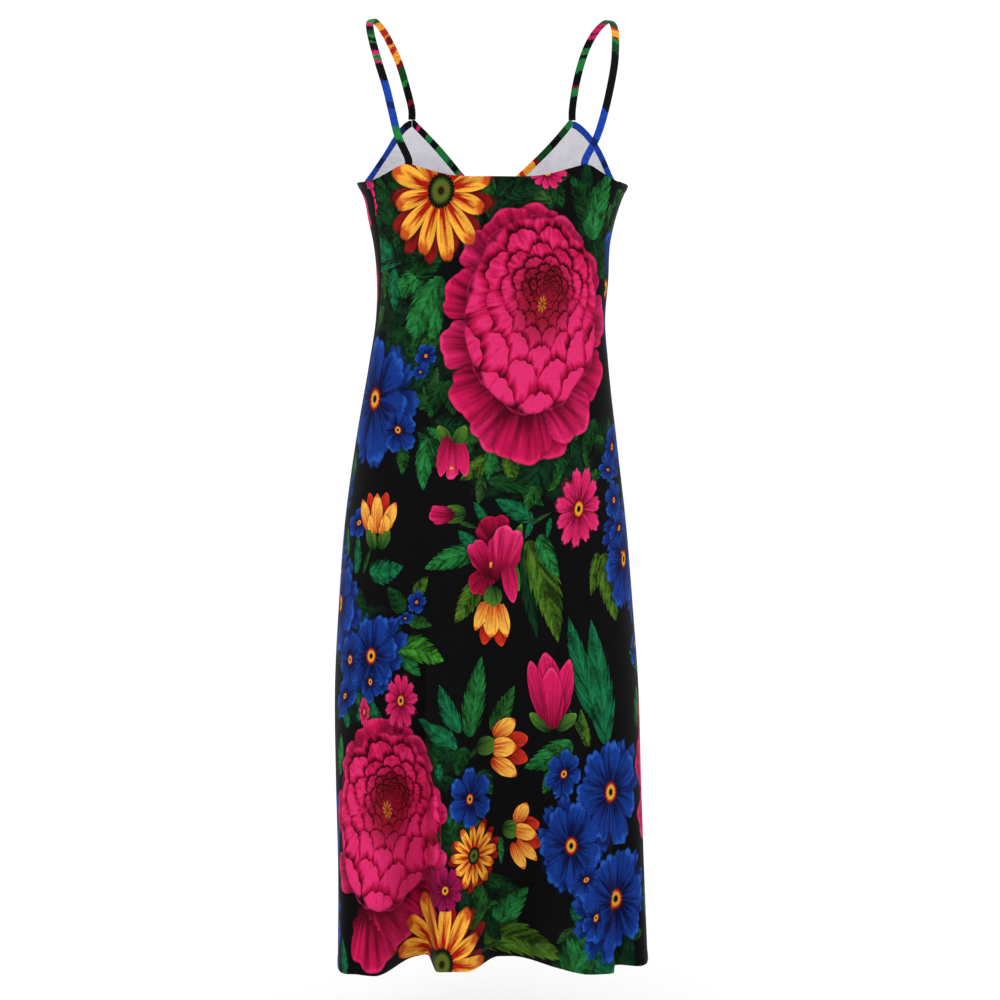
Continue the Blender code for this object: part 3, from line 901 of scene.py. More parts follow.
# Full round flowers.
BALLS = (
    (1, 56, 388, 92, 126, 0), (2, -140, 1043, 73, 117, 0),
)

# Thickets of small dark leaves: right, drop and reach.
THICKETS = (
    (-126, 272, 78), (-155, 368, 53), (-94, 453, 59), (31, 234, 58), (152, 290, 53), (-51, 549, 39),
    (21, 581, 54), (94, 582, 52), (175, 552, 33), (-173, 809, 52), (-189, 887, 33), (-78, 977, 36),
    (-48, 1053, 36), (-4, 1159, 32), (136, 1209, 55),
)

# Undergrowth: leaves for a millimetre of reach, half widths, length to width, and inks.
GROWTH = 0.6
GROWTH_SIZES = (8.0, 15.0)
GROWTH_LENGTHS = (1.6, 2.2)
GROWTH_INKS = (0, 0, 4, 6, 7)

# How far motifs and thickets count beyond their own reach, and where a thicket thins out.
MOTIF_SPARE = 1.3
THICKET_SPARE = 1.4
THICKET_EDGE = (0.55, 1.35)
# A face is printed by the nearest motif within this share of its size; others lie far out.
INK_REACH = 1.30
INK_BOX = 1.7
NOWHERE = 9.0
BARE_CODE = 0.5
SEED_STEP = 0.618


def write_layer(mesh: bpy.types.Mesh, name: str, domain: str, values: np.ndarray) -> None:
    """Write an attribute on a mesh.

    Args:
        mesh: The mesh.
        name: The attribute's name.
        domain: What carries it, POINT or CORNER.
        values: One number for each carrier, or three along the last axis.
    """
    kind, field = ("FLOAT", "value") if values.ndim == 1 else ("FLOAT_VECTOR", "vector")
    layer = mesh.attributes.new(name, kind, domain)
    layer.data.foreach_set(field, values.astype(np.float32).ravel())


@dataclass
class Print:
    """The motifs of one panel."""

    leaves: Sequence[Motif]
    blooms: Sequence[Motif]
    petals: Sequence[Motif]
    balls: Sequence[Motif]
    thickets: Sequence[tuple[float, float, float]]

    @property
    def groups(self) -> tuple[Sequence[Motif], ...]:
        """The motifs, kind by kind."""
        return (self.leaves, self.blooms, self.petals, self.balls)

    @classmethod
    def from_tables(cls) -> "Print":
        """Take the motifs that the tables place."""
        groups = [[Motif(*row) for row in table] for table in (LEAVES, BLOOMS, PETALS, BALLS)]
        return cls(*groups, THICKETS)

    def moved(self, right: float, drop: float, sign: int = 1) -> "Print":
        """Shift the print, and turn it over from left to right if wanted.

        Args:
            right: How far it moves to the right, in millimetres.
            drop: How far it moves down.
            sign: 1 as it is, -1 turned over.

        Returns:
            The new print.
        """
        groups = [
            [
                m._replace(right=right + sign * m.right, drop=m.drop + drop, turn=sign * m.turn % 360)
                for m in group
            ]
            for group in self.groups
        ]
        return Print(*groups, [(right + sign * x, y + drop, r) for x, y, r in self.thickets])

    def repeated(self, moves: Sequence[tuple[float, float]]) -> "Print":
        """Print the same again beside itself.

        Args:
            moves: How far right and down each further print lies.

        Returns:
            All of it as one print.
        """
        every = [self, *(self.moved(right, drop) for right, drop in moves)]
        groups = [[m for p in every for m in p.groups[kind]] for kind in range(len(self.groups))]
        return Print(*groups, [z for p in every for z in p.thickets])

    def around(self, places: np.ndarray) -> "Print":
        """Leave out what lies beyond a piece of cloth.

        Args:
            places: Places on the cloth: right and drop.

        Returns:
            The print without the motifs beyond them.
        """
        low, high = places.min(axis=0) * MM_PER_M, places.max(axis=0) * MM_PER_M

        def near(right: float, drop: float, size: float) -> bool:
            """Tell whether a spot lies within the cloth or near it."""
            inside = low[0] - size < right < high[0] + size
            return bool(inside and low[1] - size < drop < high[1] + size)

        groups = [
            [m for m in group if near(m.right, m.drop, max(m[3:5]) * MOTIF_SPARE)]
            for group in self.groups
        ]
        return Print(*groups, [z for z in self.thickets if near(*z[:2], z[2] * THICKET_SPARE)])

    def undergrowth(self, seed: int) -> list[Motif]:
        """Scatter small dark leaves in the thickets.

        Args:
            seed: The start of the random numbers.

        Returns:
            The leaves.
        """
        chance = np.random.default_rng(seed)
        leaves = []
        for right, drop, reach in self.thickets:
            for _ in range(int(reach * GROWTH)):
                angle, far = chance.uniform(0, 2 * math.pi), reach * math.sqrt(chance.uniform())
                size = chance.uniform(*GROWTH_SIZES)
                number = int(chance.choice(GROWTH_INKS))
                place = right + far * math.cos(angle), drop + far * math.sin(angle)
                length = size * chance.uniform(*GROWTH_LENGTHS)
                leaves.append(Motif(number, *place, size, length, chance.uniform(0, 360)))
        return leaves

    def spread(self, seed: int) -> dict[str, list[Motif]]:
        """Share the motifs out among the screens.

        A motif goes over every earlier one that it meets, on the lowest screen where
        it meets none.

        Args:
            seed: The start of the random numbers for the undergrowth.

        Returns:
            The motifs of each screen.
        """
        kept: dict[str, list[Motif]] = {screen.name: [] for screen in SCREENS}
        behind = [m for m in self.blooms if m.number in BEHIND_NUMBERS]
        others = [m for m in self.blooms if m not in behind]
        over_balls = [m for m in others if any(m.meets(b, BALL_GUARD) for b in self.balls)]
        under_balls = [m for m in others if m not in over_balls]
        jobs = (
            (self.undergrowth(seed), THICKET_SCREENS, True),
            (self.leaves, LEAF_SCREENS, False),
            (behind, BLOOM_SCREENS[:1], False),
            (under_balls, BLOOM_SCREENS, False),
            (self.petals, PETAL_SCREENS, False),
            (self.balls, BALL_SCREENS, False),
            (over_balls, BLOOM_SCREENS[1:], False),
        )
        for motifs, screens, is_spare in jobs:
            for motif in motifs:
                level = 0
                for step, screen in enumerate(screens):
                    if any(motif.meets(other, screen.reach) for other in kept[screen.name]):
                        level = step + 1
                if level < len(screens):
                    kept[screens[level].name].append(motif)
                elif not is_spare:
                    kept[screens[-1].name].append(motif)
        return kept

    def lay(self, mesh: bpy.types.Mesh, faces: np.ndarray, places: np.ndarray, seed: int) -> None:
        """Write each screen on a mesh, as an attribute of its corners.

        Args:
            mesh: The mesh.
            faces: Its faces, of four vertices each.
            places: Each vertex's place on the cloth: right and drop.
            seed: The start of the random numbers.
        """
        order = np.argsort(places[faces][:, :, 1].mean(axis=1), kind="stable")
        corners = places[faces[order]]
        middle = corners.mean(axis=1)
        kept = self.around(middle).spread(seed)
        for screen in SCREENS:
            best = np.full(len(faces), INK_REACH * screen.reach)
            values = np.full((len(faces), 4, 3), NOWHERE)
            values[..., 2] = BARE_CODE
            for number, motif in enumerate(kept[screen.name]):
                reach = max(motif.half_width, motif.half_height) * INK_BOX
                ends = np.array([motif.drop - reach, motif.drop + reach]) / MM_PER_M
                first, last = np.searchsorted(middle[:, 1], ends)
                aside = np.abs(middle[first:last, 0] - motif.right / MM_PER_M)
                picked = first + np.nonzero(aside < reach / MM_PER_M)[0]
                across, up = motif.local(middle[picked, 0], middle[picked, 1])
                far = np.hypot(across, up)
                inside = far < best[picked]
                picked = picked[inside]
                best[picked] = far[inside]
                across, up = motif.local(corners[picked, :, 0], corners[picked, :, 1])
                code = motif.number + 0.05 + 0.9 * ((number * SEED_STEP) % 1.0)
                values[picked] = np.stack([across, up, np.full(across.shape, code)], axis=-1)
            sorted_back = np.empty_like(values)
            sorted_back[order] = values
            write_layer(mesh, screen.name, "CORNER", sorted_back)
        grove = np.zeros(len(places))
        for right, drop, reach in self.thickets:
            aside, below = places[:, 0] * MM_PER_M - right, places[:, 1] * MM_PER_M - drop
            far = np.hypot(aside, below) / reach
            grove = np.maximum(grove, 1.0 - smoothstep(*THICKET_EDGE, far))
        write_layer(mesh, "grove", "POINT", grove)
        place = np.zeros((len(faces), 4, 3))
        place[..., :2] = places[faces]
        write_layer(mesh, "cloth_place", "CORNER", place)


@dataclass(frozen=True)
class PrintedJersey:
    """The printed side of a fine knit: flowers on black, with a low soft sheen."""

    ground: Colour = ink(8, 8, 10)
    thicket: Colour = ink(12, 46, 22)
    bare: Colour = ink(222, 220, 227)
    bare_light: Colour = ink(232, 229, 236)
    strength: float = 0.84
    roughness: float = 0.7
    bare_roughness: float = 0.8
    sheen: float = 0.012
    sheen_roughness: float = 0.5
    bare_sheen: float = 0.1
    specular: float = 0.04
    relief: float = 0.25
    bare_relief: float = 0.35
    wale: float = 0.0011
    course: float = 1.3
    brush_scale: float = 260.0
    growth_scale: float = 75.0
    fuzz_scale: float = 900.0
    bare_fine_scale: float = 420.0
    bare_streak_scale: float = 60.0
    shadow_depth: float = 0.8
    print_edge: float = 0.045
    leaf: LeafInk = LeafInk()
    petal: PetalInk = PetalInk()
    bloom: RosetteInk = RosetteInk()
    ball: BallInk = BallInk()

    def picture(self, bench: Bench, place: Wire) -> Wire:
        """Print the cloth, each screen with a soft shadow round its motifs.

        Args:
            bench: The material's bench.
            place: Place on the cloth.

        Returns:
            The printed colour.
        """
        brush = bench.noise(place, self.brush_scale, 1.0)
        grove = bench.attribute("grove", "Fac")
        patches = bench.noise(place, self.growth_scale, 3.0)
        growth = (patches * 3.2 + grove * 1.3).scaled(0.9, -2.05)
        colour = bench.mix(growth, self.ground, self.thicket)
        painters = {
            Kind.LEAF: self.leaf,
            Kind.PETAL: self.petal,
            Kind.BLOOM: self.bloom,
            Kind.BALL: self.ball,
        }
        for screen in SCREENS:
            edge, over = painters[screen.kind].paint(bench, screen.name, brush)
            shade = edge.scaled(3.2, 0.62)
            shaded = colour * (1.0 - shade * self.shadow_depth)
            colour = bench.mix(edge.fine(self.print_edge), shaded, over)
        return colour * self.strength

    def knit(self, bench: Bench, place: Wire) -> Wire:
        """Shape the wales and courses of the knit.

        Args:
            bench: The material's bench.
            place: Place on the cloth.

        Returns:
            Their height.
        """
        across, down, _ = bench.split(place)
        wales = (across * (2 * math.pi / self.wale)).sine()
        courses = (down * (2 * math.pi / (self.wale * self.course))).sine()
        return wales * 0.5 + courses * 0.3 + bench.noise(place, self.fuzz_scale, 1.0)

    def dress(self) -> bpy.types.Material:
        """Make the printed side's material.

        Returns:
            The material.
        """
        bench = Bench("printed_jersey")
        place = bench.attribute("cloth_place")
        values = {
            "Roughness": self.roughness,
            "Sheen Weight": self.sheen,
            "Sheen Roughness": self.sheen_roughness,
            "Specular IOR Level": self.specular,
        }
        bench.finish(self.picture(bench, place), self.knit(bench, place), self.relief, values)
        return bench.material

    def wrong_side(self) -> bpy.types.Material:
        """Make the wrong side's material: pale unprinted knit.

        Returns:
            The material.
        """
        bench = Bench("wrong_side")
        place = bench.attribute("cloth_place")
        fine = bench.noise(place, self.bare_fine_scale, 2.0)
        streaks = bench.noise(place, self.bare_streak_scale, 2.0)
        shade = (streaks * 0.12 + fine * 0.16).scaled(1.0, 0.82)
        colour = bench.mix(streaks.scaled(1.6, -0.3), self.bare, self.bare_light) * shade
        values = {"Roughness": self.bare_roughness, "Sheen Weight": self.bare_sheen}
        bench.finish(colour, self.knit(bench, place), self.bare_relief, values)
        return bench.material


BLACK = ink(12, 12, 14)
DEEP_GREEN = ink(14, 66, 30)
GREEN = ink(30, 116, 54)
BLUE = ink(24, 62, 158)
DEEP_BLUE = ink(14, 34, 92)
PINK = ink(196, 30, 96)
CRIMSON = ink(112, 12, 30)
RED = ink(186, 38, 26)
ORANGE = ink(240, 160, 44)

# Crosswise patches of the straps, from the back panel over the shoulder to the front.
STRAP_PATCHES = {
    Side.LEFT: (
        (0.0, BLACK), (0.106, GREEN), (0.151, BLUE), (0.205, DEEP_BLUE), (0.225, BLUE), (0.292, BLACK),
        (0.350, PINK), (0.362, GREEN), (0.385, PINK), (0.400, BLACK), (0.430, GREEN), (0.440, BLACK),
        (0.455, GREEN), (0.472, DEEP_GREEN), (0.490, BLACK), (0.515, PINK), (0.535, GREEN),
        (0.575, DEEP_GREEN), (0.632, ORANGE), (0.672, RED), (0.705, ORANGE), (0.713, CRIMSON),
        (0.745, ORANGE), (0.752, RED), (0.775, ORANGE), (0.812, CRIMSON), (0.832, DEEP_GREEN),
        (0.872, GREEN), (0.890, BLACK), (0.940, CRIMSON), (0.952, BLACK),
    ),
    Side.RIGHT: (
        (0.0, BLUE), (0.095, DEEP_BLUE), (0.115, BLUE), (0.205, BLACK), (0.395, DEEP_GREEN),
        (0.440, GREEN), (0.455, CRIMSON), (0.462, ORANGE), (0.500, RED), (0.515, DEEP_GREEN),
        (0.560, GREEN), (0.585, DEEP_GREEN), (0.622, PINK), (0.648, BLACK), (0.656, PINK),
        (0.690, BLACK), (0.698, PINK), (0.722, BLACK), (0.755, GREEN), (0.785, BLACK),
        (0.795, GREEN), (0.840, BLACK), (0.885, CRIMSON), (0.898, GREEN), (0.925, BLACK),
    ),
}

# Patches of the bound edges: the neck from the apex to the V, the armholes from the side seam up.
NECK_PATCHES = {
    Side.LEFT: (
        (0.0, BLACK), (0.085, PINK), (0.11, BLACK), (0.19, GREEN), (0.25, BLACK), (0.31, GREEN),
        (0.45, DEEP_GREEN), (0.50, BLACK), (0.55, GREEN), (0.58, PINK), (0.82, CRIMSON), (0.9, PINK),
    ),
    Side.RIGHT: (
        (0.0, GREEN), (0.09, DEEP_GREEN), (0.17, BLACK), (0.27, DEEP_GREEN), (0.41, CRIMSON),
        (0.45, ORANGE), (0.56, RED), (0.59, ORANGE), (0.64, RED), (0.68, ORANGE), (0.72, RED),
        (0.84, DEEP_GREEN), (0.92, BLACK),
    ),
}
ARMHOLE_PATCHES = {
    Side.LEFT: (
        (0.0, PINK), (0.06, BLACK), (0.16, DEEP_BLUE), (0.24, BLUE), (0.60, DEEP_BLUE),
        (0.66, BLUE), (0.84, DEEP_BLUE), (0.88, BLACK),
    ),
    Side.RIGHT: (
        (0.0, BLACK), (0.27, DEEP_GREEN), (0.32, GREEN), (0.44, BLUE), (0.62, DEEP_BLUE),
        (0.66, BLUE), (0.97, DEEP_BLUE),
    ),
}


@dataclass(frozen=True)
class PrintedBinding:
    """The same cloth cut into narrow strips, so that the print becomes crosswise patches."""

    name: str
    patches: Stops
    slant: float = 1.1
    raggedness: float = 0.028
    roughness: float = 0.6
    sheen: float = 0.012
    specular: float = 0.04
    rib_turns: float = 5200.0
    ragged_scale: float = 420.0
    stroke_scale: float = 240.0
    fuzz_scale: float = 1500.0
    relief: float = 0.25

    def dress(self) -> bpy.types.Material:
        """Make the strip's material.

        Returns:
            The material.
        """
        bench = Bench(self.name)
        share, wide, deep = bench.split(bench.attribute("run"))
        spread = bench.vector(share * 0.30, wide, deep)
        ragged = (bench.noise(spread, self.ragged_scale, 2.0) - 0.5) * self.raggedness
        colour = bench.ramp(share + wide * self.slant + ragged, self.patches, "CONSTANT")
        stroke_place = bench.vector(share * 1.2, wide * 0.5, deep)
        strokes = bench.noise(stroke_place, self.stroke_scale, 2.0)
        rib = (wide * self.rib_turns).sine() * 0.5 + bench.noise(spread, self.fuzz_scale, 1.0)
        values = {
            "Roughness": self.roughness,
            "Sheen Weight": self.sheen,
            "Specular IOR Level": self.specular,
        }
        bench.finish(colour * (strokes * 1.7 + 0.18), rib, self.relief, values)
        return bench.material


class Section(NamedTuple):
    """One level outline of the dress, as the section table gives it."""

    drop: float
    half_width: float
    sway: float
    front: float
    back: float
    square: float
    seam: float


class Fold(NamedTuple):
    """A trough between two flutes of the skirt, at the hem, going from +X to -X."""

    start: float
    full: float
    release: float
    end: float
    depth: float
    top: float


class Crease(NamedTuple):
    """A soft crease of the cloth: two ends, how wide it is and how far it goes in."""

    across: float
    drop: float
    to_across: float
    to_drop: float
    half_width: float
    depth: float


class Strip(NamedTuple):
    """Points of cloth with the place of each on the printed cloth."""

    points: np.ndarray
    print_across: np.ndarray


@dataclass(frozen=True)
class DressForm:
    """The body of the dress: level sections, folds and edges that both panels share."""

    sections: tuple[Section, ...] = (
        Section(0.105, 0.162, -0.0012, 0.128, 0.088, 2.2, 0.039),
        Section(0.160, 0.173, -0.0062, 0.134, 0.094, 2.2, 0.041),
        Section(0.212, 0.181, -0.0020, 0.138, 0.098, 2.2, 0.043),
        Section(0.235, 0.1715, -0.0018, 0.140, 0.098, 2.2, 0.042),
        Section(0.262, 0.1645, 0.0000, 0.136, 0.096, 2.2, 0.039),
        Section(0.290, 0.1585, 0.0000, 0.126, 0.092, 2.2, 0.035),
        Section(0.340, 0.1548, -0.0010, 0.112, 0.086, 2.2, 0.028),
        Section(0.395, 0.1537, 0.0018, 0.103, 0.084, 2.2, 0.021),
        Section(0.447, 0.1597, 0.0040, 0.104, 0.092, 2.2, 0.016),
        Section(0.555, 0.1752, 0.0075, 0.112, 0.112, 2.3, 0.016),
        Section(0.662, 0.1888, 0.0090, 0.120, 0.128, 2.6, 0.017),
        Section(0.771, 0.1975, 0.0090, 0.127, 0.138, 3.0, 0.018),
        Section(0.880, 0.2038, 0.0083, 0.134, 0.147, 3.6, 0.019),
        Section(1.000, 0.2045, 0.0065, 0.141, 0.155, 4.4, 0.020),
        Section(1.118, 0.2045, 0.0034, 0.147, 0.160, 5.2, 0.021),
        Section(1.241, 0.2068, 0.0014, 0.153, 0.164, 6.0, 0.022),
    )
    back_folds: tuple[Fold, ...] = (
        Fold(0.158, 0.104, 0.0880, 0.0745, 0.082, 0.60),
        Fold(0.038, -0.008, -0.024, -0.104, 0.0645, 0.52),
        Fold(0.120, 0.070, -0.085, -0.125, 0.019, 0.45),
        Fold(-0.1530, -0.1590, -0.160, -0.208, 0.034, 0.93),
        Fold(0.215, 0.210, 0.206, 0.178, -0.020, 0.90),
    )
    front_folds: tuple[Fold, ...] = (
        Fold(0.170, 0.140, 0.118, 0.088, 0.046, 0.64),
        Fold(0.064, 0.042, 0.012, -0.016, 0.058, 0.52),
        Fold(-0.052, -0.080, -0.104, -0.130, 0.056, 0.60),
        Fold(0.100, 0.050, -0.060, -0.110, 0.014, 0.45),
    )
    fold_growth: float = 1.25
    cup_across: float = 0.084
    cup_drop: float = 0.246
    cup_depth: float = 0.020
    cup_half_width: float = 0.052
    cup_half_height: float = 0.055
    back_edge: tuple[tuple[float, float], ...] = (
        (0.000, 0.2106), (0.043, 0.2102), (0.060, 0.2085), (0.081, 0.2035), (0.100, 0.1978),
        (0.115, 0.1942), (0.122, 0.1948), (0.134, 0.2010), (0.148, 0.2082), (0.162, 0.2135),
    )
    peak_across: float = 0.1165
    peak_reach: float = 0.200
    apex_across: float = 0.1105
    apex_drop: float = 0.1290
    v_drop: float = 0.2400
    corner_across: float = 0.1715
    armhole_drop: float = 0.2245
    armhole_hollow: float = 1.45
    corner_tilt: float = 0.0040
    side_drop: float = 0.2235
    edge_reach: float = 0.17
    edge_rounds: int = 8
    neck_hollow: float = 1.06
    seam_tolerance: float = 1.001
    side_fade: float = 0.5
    feel_share: float = 0.006
    feel_drop: float = 0.008
    ring_points: int = 640

    def sway(self, drop: float) -> float:
        """How far the middle of the dress leans to +X at a drop."""
        return float(smooth_table(self.sections, [drop])[0, 1])

    def fold_depth(self, folds: Sequence[Fold], ratio: np.ndarray, drop: np.ndarray) -> np.ndarray:
        """Work out how far the cloth turns in.

        Args:
            folds: The troughs of one panel.
            ratio: Distance across, as a share of the section's half width.
            drop: The levels.

        Returns:
            The depth at each place.
        """
        hem_half = self.sections[-1].half_width
        depth = np.zeros(np.broadcast(ratio, drop).shape)
        for fold in folds:
            into = 1.0 - smoothstep(fold.full / hem_half, fold.start / hem_half, ratio)
            out = 1.0 - smoothstep(fold.end / hem_half, fold.release / hem_half, ratio)
            grown = np.clip((drop - fold.top) / (HEM_DROP - fold.top), 0.0, 1.0)
            depth += fold.depth * grown**self.fold_growth * (into - out)
        return depth

    def outlines(self, face: Face, drops: np.ndarray) -> tuple[np.ndarray, np.ndarray, np.ndarray]:
        """Draw level outlines of one panel, from the +X seam to the -X seam.

        Args:
            face: The panel.
            drops: The levels.

        Returns:
            x, y, and the length of unfolded cloth from the middle line, each with a
            row for each level.
        """
        half, sway, front, back, square, seam = (
            column[:, None] for column in smooth_table(self.sections, drops).T
        )
        turn = np.linspace(0.0, 1.0, self.ring_points)[None, :]
        behind_side = seam / back
        first = np.arctan2(behind_side, (1.0 - behind_side**square) ** (1 / square))
        if face is Face.BACK:
            angle = first + turn * (math.pi - 2 * first)
        else:
            angle = first - turn * (math.pi + 2 * first)
        cosine, sine = np.cos(angle), np.sin(angle)
        radius = (np.abs(cosine) ** square + np.abs(sine) ** square) ** (-1 / square)
        ratio, depth = radius * cosine, radius * sine
        x = half * ratio
        plain = np.where(depth > 0, back * depth, front * depth)
        drop = np.asarray(drops, float)[:, None]
        behind, before = (smoothstep(0.0, self.side_fade, value) for value in (depth, -depth))
        y = plain - self.fold_depth(self.back_folds, ratio, drop) * behind
        y = y + self.fold_depth(self.front_folds, ratio, drop) * before
        level = np.exp(-(((drop - self.cup_drop) / self.cup_half_height) ** 2))
        for side in Side:
            swell = np.exp(-(((x - side.value * self.cup_across) / self.cup_half_width) ** 2))
            y = y - self.cup_depth * swell * level * before
        run = run_length(x, plain)
        for row in range(len(x)):
            run[row] = np.interp(0.0, -x[row], run[row]) - run[row]
        return x + sway, y, run

    def cloth(self, face: Face, shares: np.ndarray, drops: np.ndarray) -> Strip:
        """Find points of a panel.

        Args:
            face: The panel.
            shares: Shares of the section's length, counted from the +X seam.
            drops: The level of each share.

        Returns:
            The points and their places on the printed cloth.
        """
        x, y, across = self.outlines(face, drops)
        run = run_length(x, y)
        inset = SEAM_GAP / 2
        points = np.empty((len(x), 3))
        places = np.empty(len(x))
        for row in range(len(x)):
            at = inset + shares[row] * (run[row, -1] - 2 * inset)
            points[row, 0] = np.interp(at, run[row], x[row])
            points[row, 1] = np.interp(at, run[row], y[row])
            places[row] = np.interp(at, run[row], across[row])
        points[:, 2] = -np.asarray(drops, float)
        return Strip(points, places)

    def share_at(self, face: Face, across: float, drop: float) -> float:
        """Find a column of a panel.

        Args:
            face: The panel.
            across: Distance from the middle, towards +X.
            drop: The level.

        Returns:
            The share of the section's length from the +X seam.
        """
        x, y, _ = self.outlines(face, np.array([drop]))
        run = run_length(x[0], y[0])
        first = int(np.argmax(x[0]))
        beyond = np.nonzero(x[0][first:] <= across + self.sway(drop))[0][0] + first
        return float(run[beyond] / run[-1])

    def normal(self, face: Face, share: float, drop: float) -> np.ndarray:
        """Find the direction out of the cloth.

        Args:
            face: The panel.
            share: Share of the section's length.
            drop: The level.

        Returns:
            A direction of length 1.
        """
        ends = np.array([share - self.feel_share, share + self.feel_share])
        beside = self.cloth(face, ends, [drop, drop]).points
        below = self.cloth(face, np.array([share, share]), [drop, drop + self.feel_drop]).points
        out = unit(np.cross(beside[1] - beside[0], below[1] - below[0]))
        return out if out[1] * beside[0, 1] > 0 else -out

    def back_top(self, shares: np.ndarray) -> np.ndarray:
        """Drop of the back panel's top edge at each column."""
        points = self.cloth(Face.BACK, shares, np.full(len(shares), self.peak_reach)).points
        return smooth_table(self.back_edge, np.abs(points[:, 0] - self.sway(self.peak_reach)))[:, 0]

    def front_top(self, shares: np.ndarray) -> np.ndarray:
        """Find the front panel's raw edge, under its bands.

        Args:
            shares: Shares of the section's length.

        Returns:
            The drop of the edge at each column: up the armhole to the apex of the
            cup, and down to the point of the V.
        """
        corner_share = self.share_at(Face.FRONT, self.corner_across, self.armhole_drop)
        corner_drops = self.armhole_drop + self.corner_tilt * np.where(shares < 0.5, -1.0, 1.0)
        drops = np.full(len(shares), self.edge_reach)
        for _ in range(self.edge_rounds):
            points = self.cloth(Face.FRONT, shares, drops).points
            across = np.abs(points[:, 0] - smooth_table(self.sections, drops)[:, 1])
            rise = self.apex_drop - self.v_drop
            neck = self.v_drop + rise * (across / self.apex_across) ** self.neck_hollow
            share = (across - self.apex_across) / (self.corner_across - self.apex_across)
            share = np.clip(share, 0.0, 1.0) ** self.armhole_hollow
            armhole = self.apex_drop + (corner_drops - self.apex_drop) * share
            drops = np.where(across < self.apex_across, neck, armhole)
        seam = np.minimum(shares, 1.0 - shares) / corner_share
        beside = self.side_drop + (corner_drops - self.side_drop) * np.clip(seam, 0.0, 1.0)
        return np.where(seam < self.seam_tolerance, beside, drops)


def new_object(name: str, data: bpy.types.ID) -> bpy.types.Object:
    """Put an object in the scene.

    Args:
        name: The object's name.
        data: Its mesh, light or camera.

    Returns:
        The new object.
    """
    thing = bpy.data.objects.new(name, data)
    bpy.context.scene.collection.objects.link(thing)
    return thing


